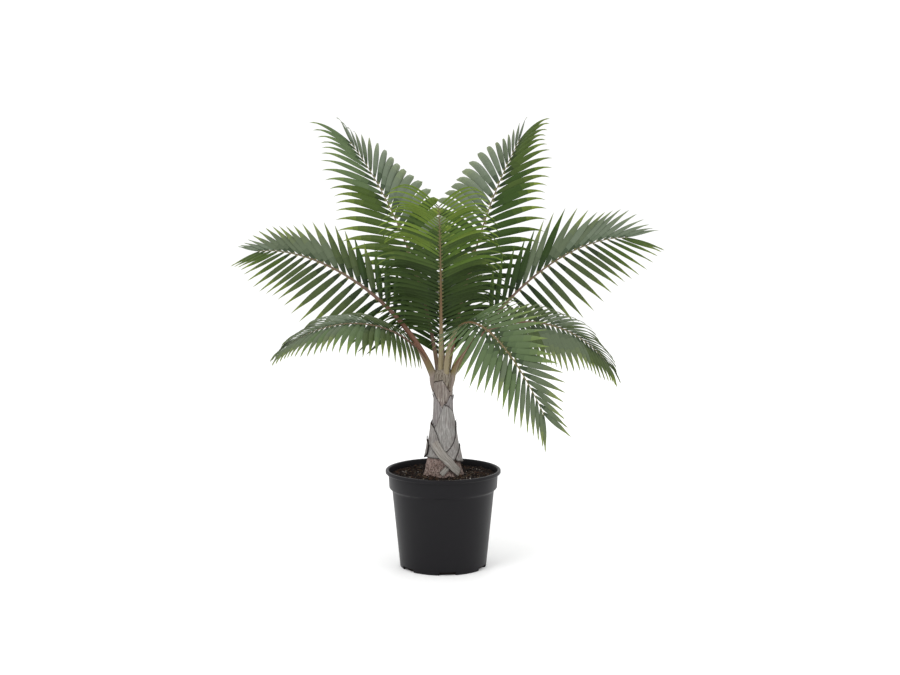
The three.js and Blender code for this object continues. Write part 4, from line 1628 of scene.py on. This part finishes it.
    def stalk_surface(self) -> Surface:
        """Carries an oval along the line: half widths from the taper, flatter on its upper side.

        Below the frond's base the line runs on down the stem as a broad, thin clasp.

        Returns:
            The closed surface, with its UV map: along, and from lower to upper side.
        """
        x = np.linspace(0, 1, self.stalk_rings) ** 1.25
        line = self.line(x)
        drop = np.linspace(self.clasp, 0, self.clasp_rings, endpoint=False)[:, None]
        inward = np.array(self.base) * [-1, -1, 0]
        reach = drop / self.clasp
        low = np.array(self.base) + DOWN * drop + inward * 0.5 * reach**1.5
        first = [np.repeat(part[:1], len(drop), axis=0) for part in (line.along, line.across, line.over)]
        point = np.concatenate([low, line.point])
        across = np.concatenate([first[1], line.across])
        over = np.concatenate([first[2], line.over])
        narrow = np.maximum(self.thinnest, self.stalk * self.slim * table_at(self.taper, x)) / 2
        widen = np.concatenate([1 + self.clasp_widening * reach[:, 0], np.ones_like(x)])
        thin = np.concatenate([1 - self.clasp_thinning * reach[:, 0], np.ones_like(x)])
        half = np.concatenate([np.full(len(drop), narrow[0]), narrow]) * widen
        deep = np.concatenate([np.full(len(drop), narrow[0]), narrow]) * thin * self.oval
        turn = np.arange(self.stalk_sides) / self.stalk_sides * 2 * np.pi
        level = np.sin(turn) * np.where(np.sin(turn) > 0, self.flat_back, 1)
        ring = (
            across[:, None] * (half[:, None] * np.cos(turn))[..., None]
            + over[:, None] * (deep[:, None] * level)[..., None]
        )
        points = (point[:, None] + ring)[None]
        along = np.concatenate([np.zeros(len(drop)), x])
        uv = np.stack(np.broadcast_arrays(along[:, None], 0.5 + 0.5 * np.sin(turn)), axis=-1)
        faces = tube_faces(*points.shape[:3])
        return Surface(points.reshape(-1, 3), faces, uv=uv.reshape(-1, 2)).facing_out()

    def build(self) -> None:
        """Makes the leaflets and the stalk in place of the frond's solids."""
        materials = [material for tone in self.right + self.left for material in tone.materials()]
        leaves = self.leaflets().piece(f"leaflets_{self.name}", materials, self.slot, 60)
        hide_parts(*self.nodes)
        stalk = self.stalk_surface().piece(f"stalk_{self.name}", [self.finish.material()], self.slot, 80)
        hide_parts(*self.nodes)


# Grey-green with a painted sheen: the white surround's reflection on leaflets that face up is laid into the
# colour.
PALE_GREY_SHEEN = LeafTone("pale_grey_sheen", (44, 58, 38), (95, 106, 87), (114, 126, 90), (106, 118, 92))
# Grey-green with a painted sheen, as above.
GREY_SHEEN = LeafTone("grey", (36, 50, 28), (82, 93, 70), (116, 128, 66), (94, 106, 76))
DUSK = LeafTone("dusk", (25, 38, 15), (62, 75, 40), (112, 124, 52), (76, 90, 54))
DEEP = LeafTone("deep", (18, 34, 7), (43, 65, 13), (118, 134, 46), (70, 86, 42))
FRESH = LeafTone("fresh", (24, 42, 10), (58, 86, 18), (102, 126, 40), (80, 100, 40))
# The young frond's yellow-green, brightened as painted light shining through its leaflets.
BRIGHT = LeafTone("bright", (38, 58, 14), (82, 104, 26), (126, 146, 54), (98, 118, 48))
MID = LeafTone("mid", (34, 48, 26), (77, 94, 60), (110, 126, 64), (90, 104, 68))
OLIVE = LeafTone("olive", (28, 42, 12), (58, 76, 24), (116, 130, 52), (82, 98, 50))
# Painted shade: the darkest green, dealt to the leaflets nearest the crown.
SHADE = LeafTone("shade", (13, 27, 4), (33, 53, 8), (72, 92, 26), (46, 62, 22))

RED_STALK = StalkFinish("red", (104, 92, 56), (98, 62, 42), (86, 58, 42), (82, 82, 52), (116, 104, 66))
BROWN_STALK = StalkFinish("brown", (94, 78, 56), (82, 56, 42), (88, 60, 44), (82, 80, 52), (112, 98, 68))
TAN_STALK = StalkFinish("tan", (128, 116, 90), (120, 102, 72), (98, 72, 44), (88, 84, 44), (128, 117, 88))

FRONDS = (
    Frond(
        name="centre",
        nodes=("frond_centre",),
        seed=1,
        base=(-0.005, -0.006, 0.463),
        heading=-91,
        sway=-6,
        rise=98,
        fall=68,
        bend=0.95,
        length=0.396,
        roll=(-6, 2),
        vee=8,
        spread=(68, 48),
        skew=-2,
        ruffle=9,
        dapple=0.15,
        droop=1.1,
        bare=0.21,
        tip=0.8,
        leaf=0.158,
        width=0.0112,
        stalk=0.018,
        pairs=38,
        slot="frond_young",
        blade=Blade(root=0.24),
        right=(SHADE, SHADE, DEEP, BRIGHT, BRIGHT),
        left=(SHADE, SHADE, DEEP, FRESH, BRIGHT),
        finish=TAN_STALK,
    ),
    Frond(
        name="front",
        nodes=("frond_front_inner", "frond_front_outer"),
        seed=2,
        base=(0.007, -0.013, 0.457),
        heading=-76,
        sway=22,
        rise=101,
        fall=-51,
        bend=0.51,
        length=0.643,
        roll=(-25, -61),
        vee=0,
        spread=(58, 21),
        skew=-6,
        droop=0.05,
        bare=0.25,
        tip=0.54,
        leaf=0.15,
        width=0.022,
        stalk=0.018,
        pairs=24,
        right=(MID, MID, GREY_SHEEN),
        left=(MID, MID, GREY_SHEEN),
        finish=TAN_STALK,
    ),
    Frond(
        name="left",
        nodes=("frond_left",),
        seed=3,
        base=(-0.023, -0.005, 0.453),
        heading=163,
        sway=-31,
        rise=68,
        fall=-8,
        bend=0.89,
        length=0.614,
        roll=(65, 58),
        vee=-17,
        spread=(66, 12),
        skew=20,
        droop=0.05,
        bare=0.23,
        tip=0.72,
        leaf=0.158,
        width=0.0205,
        stalk=0.022,
        right=(SHADE, DUSK, GREY_SHEEN, GREY_SHEEN, PALE_GREY_SHEEN),
        left=(SHADE, DUSK, DUSK, DUSK, OLIVE),
        finish=RED_STALK,
    ),
    Frond(
        name="lower_right",
        nodes=("frond_lower_right_inner", "frond_lower_right_outer"),
        seed=4,
        base=(0.021, -0.009, 0.451),
        heading=-7,
        sway=5,
        rise=86,
        fall=-53,
        bend=0.75,
        length=0.451,
        roll=(-43, -27),
        vee=-11,
        spread=(82, 12),
        skew=-5,
        droop=0.9,
        bare=0.29,
        tip=0.5,
        leaf=0.125,
        width=0.0168,
        stalk=0.020,
        pairs=27,
        right=(DUSK, GREY_SHEEN, DUSK),
        left=(DUSK, GREY_SHEEN, DUSK),
        finish=RED_STALK,
    ),
    Frond(
        name="upper_left",
        nodes=("frond_upper_left",),
        seed=5,
        base=(-0.012, 0.007, 0.460),
        heading=128,
        sway=7,
        rise=78,
        fall=41,
        bend=0.9,
        length=0.624,
        blunt=(1, 0),
        roll=(42, 9),
        vee=-13,
        spread=(73, 15),
        skew=-2,
        droop=0.55,
        bare=0.19,
        tip=0.8,
        leaf=0.153,
        width=0.021,
        stalk=0.014,
        pairs=26,
        right=(SHADE, DEEP, PALE_GREY_SHEEN, PALE_GREY_SHEEN, GREY_SHEEN),
        left=(SHADE, DEEP, OLIVE, MID, MID),
        finish=BROWN_STALK,
    ),
    Frond(
        name="upper_right",
        nodes=("frond_upper_right",),
        seed=6,
        base=(0.011, 0.007, 0.460),
        heading=62,
        sway=4,
        rise=69,
        fall=33,
        bend=1.18,
        length=0.674,
        blunt=(0, 1),
        roll=(-35, -3),
        vee=-27,
        spread=(73, 9),
        skew=8,
        droop=0.49,
        bare=0.19,
        tip=0.76,
        leaf=0.185,
        width=0.021,
        stalk=0.014,
        pairs=25,
        right=(SHADE, DEEP, DEEP, OLIVE, OLIVE),
        left=(SHADE, DEEP, PALE_GREY_SHEEN, PALE_GREY_SHEEN, GREY_SHEEN),
        finish=RED_STALK,
    ),
    Frond(
        name="right",
        nodes=("frond_right",),
        seed=7,
        base=(0.022, 0.004, 0.453),
        heading=34,
        sway=9,
        rise=51,
        fall=-4,
        bend=1.38,
        length=0.649,
        roll=(-85, -68),
        vee=-16,
        spread=(59, 11),
        skew=-24,
        droop=0.11,
        bare=0.25,
        tip=0.8,
        leaf=0.187,
        width=0.0195,
        stalk=0.018,
        pairs=20,
        right=(SHADE, DUSK, DUSK, OLIVE),
        left=(SHADE, GREY_SHEEN, PALE_GREY_SHEEN, PALE_GREY_SHEEN),
        finish=RED_STALK,
    ),
    Frond(
        name="lower_left",
        nodes=("frond_lower_left_inner", "frond_lower_left_outer"),
        seed=8,
        base=(-0.021, 0.009, 0.450),
        heading=207,
        sway=-22,
        rise=70,
        fall=-35,
        bend=0.89,
        length=0.41,
        roll=(22, 14),
        vee=0,
        spread=(82, 12),
        skew=11,
        droop=0.95,
        bare=0.21,
        tip=0.5,
        leaf=0.125,
        width=0.0182,
        stalk=0.016,
        pairs=28,
        right=(DUSK, PALE_GREY_SHEEN, GREY_SHEEN),
        left=(DUSK, MID, GREY_SHEEN),
        finish=BROWN_STALK,
    ),
    Frond(
        name="back",
        nodes=("frond_back_inner", "frond_back_outer"),
        seed=9,
        base=(0, 0.021, 0.454),
        heading=95,
        sway=0,
        rise=75,
        fall=-25,
        bend=1,
        length=0.44,
        droop=0.45,
        bare=0.1,
        tip=0.6,
        leaf=0.15,
        width=0.02,
        stalk=0.017,
        pairs=28,
        right=(SHADE, DEEP, MID),
        left=(SHADE, DEEP, MID),
        finish=BROWN_STALK,
    ),
)

SHEATHS = (
    Sheath(
        name="sheath_crown_margin",
        node=None,
        layer=0,
        flare=0.0006,
        top=((-180, 0.428), (-60, 0.440), (-3, 0.446), (8, 0.438), (23, 0.428), (44, 0.418), (110, 0.424)),
        bottom=((-180, 0.372),),
        finish=CROWN_SHEATH,
        seed=31,
        thickness=0.0011,
        gap=0.0001,
    ),
    Sheath(
        name="sheath_first",
        node="sheath_upper",
        layer=0,
        flare=0.0022,
        top=(
            (-180, 0.430),
            (-88, 0.427),
            (-56, 0.409),
            (-29, 0.396),
            (-3, 0.380),
            (10, 0.388),
            (28, 0.396),
            (47, 0.409),
            (80, 0.404),
            (130, 0.418),
        ),
        bottom=((-180, 0.322),),
        finish=YOUNG_SHEATH,
        seed=37,
    ),
    Sheath(
        name="sheath_second",
        node="sheath_middle",
        layer=1,
        flare=0.0006,
        top=(
            (-180, 0.296),
            (-120, 0.312),
            (-62, 0.322),
            (-38, 0.339),
            (-20, 0.358),
            (-5, 0.379),
            (4, 0.388),
            (31, 0.384),
            (68, 0.370),
            (130, 0.330),
        ),
        bottom=((-180, 0.262),),
        finish=MIDDLE_SHEATH,
        seed=41,
    ),
    Sheath(
        name="sheath_third",
        node="sheath_lower",
        layer=2,
        flare=0.0024,
        top=(
            (-180, 0.362),
            (-120, 0.346),
            (-90, 0.336),
            (-67, 0.342),
            (-42, 0.332),
            (-25, 0.317),
            (-12, 0.297),
            (10, 0.278),
            (28, 0.288),
            (42, 0.297),
            (61, 0.312),
            (72, 0.326),
            (90, 0.342),
            (130, 0.350),
        ),
        bottom=(
            (-180, 0.270),
            (-90, 0.286),
            (-58, 0.290),
            (-20, 0.268),
            (15, 0.256),
            (40, 0.258),
            (90, 0.264),
        ),
        finish=OLD_SHEATH,
        seed=43,
    ),
    Sheath(
        name="sheath_fourth",
        node="sheath_foot",
        layer=3,
        flare=0.003,
        span=(40, 296),
        top=(
            (40, 0.260),
            (50, 0.270),
            (70, 0.282),
            (91, 0.292),
            (135, 0.284),
            (180, 0.280),
            (230, 0.292),
            (268, 0.304),
            (296, 0.297),
        ),
        bottom=((40, 0.256), (72, 0.251), (92, 0.249), (180, 0.248), (268, 0.258), (296, 0.270)),
        finish=OLD_SHEATH,
        seed=47,
    ),
)

STRAPS = (
    Strap(
        name="strap_broad",
        path=((-34, 0.300), (-8, 0.276), (18, 0.256), (34, 0.241), (49, 0.229)),
        width=(0.022, 0.021, 0.021, 0.021, 0.020),
        lift=(0.0051, 0.0058, 0.0065, 0.0069, 0.0074),
        seed=53,
    ),
    Strap(
        name="strap_short",
        path=((30, 0.256), (16, 0.245), (4, 0.235), (-6, 0.227)),
        width=(0.013, 0.012, 0.012, 0.012),
        lift=(0.005, 0.0034, 0.0036, 0.0046),
        seed=59,
    ),
)


# Studio


@dataclass(frozen=True)
class SoftBox:
    """A square lamp: where it stands, where it points, its side and its power."""

    name: str
    place: Triple
    side: float
    watts: float
    aim: Triple = (0, 0, 0.5)

    def build(self) -> None:
        """Makes the lamp."""
        data = bpy.data.lights.new(self.name, "AREA")
        data.energy = self.watts
        data.size = self.side
        lamp = bpy.data.objects.new(self.name, data)
        bpy.context.scene.collection.objects.link(lamp)
        lamp.location = self.place
        towards = Vector(self.aim) - Vector(self.place)
        lamp.rotation_euler = towards.to_track_quat("-Z", "Y").to_euler()


@dataclass
class Studio:
    """A pale floor, soft lamps and the camera at the photograph's angle.

    Attributes:
        sky: The strength of the white light from all round.
        lens: The focal length in millimetres, on a frame 36 mm wide.
        tilt: How far the camera looks down, in degrees.
    """

    floor_side: float = 30.0
    floor: PlainFinish = PlainFinish("studio_floor", (255, 255, 255), 0.9, 0.1)
    sky: float = 1.06
    lens: float = 78.24
    camera_place: Triple = (0.016, -4.5, 1.158)
    tilt: float = 7.8
    lamps: tuple[SoftBox, ...] = (
        SoftBox("key_lamp", (-1.6, -2.2, 3.2), 1.6, 46),
        SoftBox("fill_lamp", (2.4, -1.8, 2.0), 1.6, 16),
        SoftBox("rim_lamp", (0.4, 2.6, 2.6), 1.6, 16),
    )

    def build(self) -> None:
        """Makes the floor, the lamps, the sky and the camera."""
        half = self.floor_side / 2
        corners = np.array([[-half, -half, 0], [half, -half, 0], [half, half, 0], [-half, half, 0]])
        mesh = bpy.data.meshes.new("floor")
        mesh.from_pydata(corners.tolist(), [], [(0, 1, 2, 3)])
        mesh.materials.append(self.floor.material())
        floor = bpy.data.objects.new("floor", mesh)
        bpy.context.scene.collection.objects.link(floor)
        for lamp in self.lamps:
            lamp.build()
        world = bpy.data.worlds.new("studio")
        world.use_nodes = True
        world.node_tree.nodes["Background"].inputs["Color"].default_value = (1, 1, 1, 1)
        world.node_tree.nodes["Background"].inputs["Strength"].default_value = self.sky
        bpy.context.scene.world = world
        data = bpy.data.cameras.new("camera")
        data.lens = self.lens
        camera = bpy.data.objects.new("camera", data)
        camera.location = self.camera_place
        camera.rotation_euler = (math.radians(90 - self.tilt), 0, 0)
        bpy.context.scene.collection.objects.link(camera)
        bpy.context.scene.camera = camera
        bpy.context.scene.view_settings.view_transform = "Standard"


def main() -> None:
    """Builds the studio and every sub-assembly in order."""
    logging.basicConfig(level=logging.INFO, format="%(name)s: %(message)s")
    parts = (Studio(), Pot(), Compost(), Stem(), *SHEATHS, *STRAPS, EdgeFibres(), *FRONDS)
    for part in parts:
        part.build()


if __name__ == "__main__":
    main()
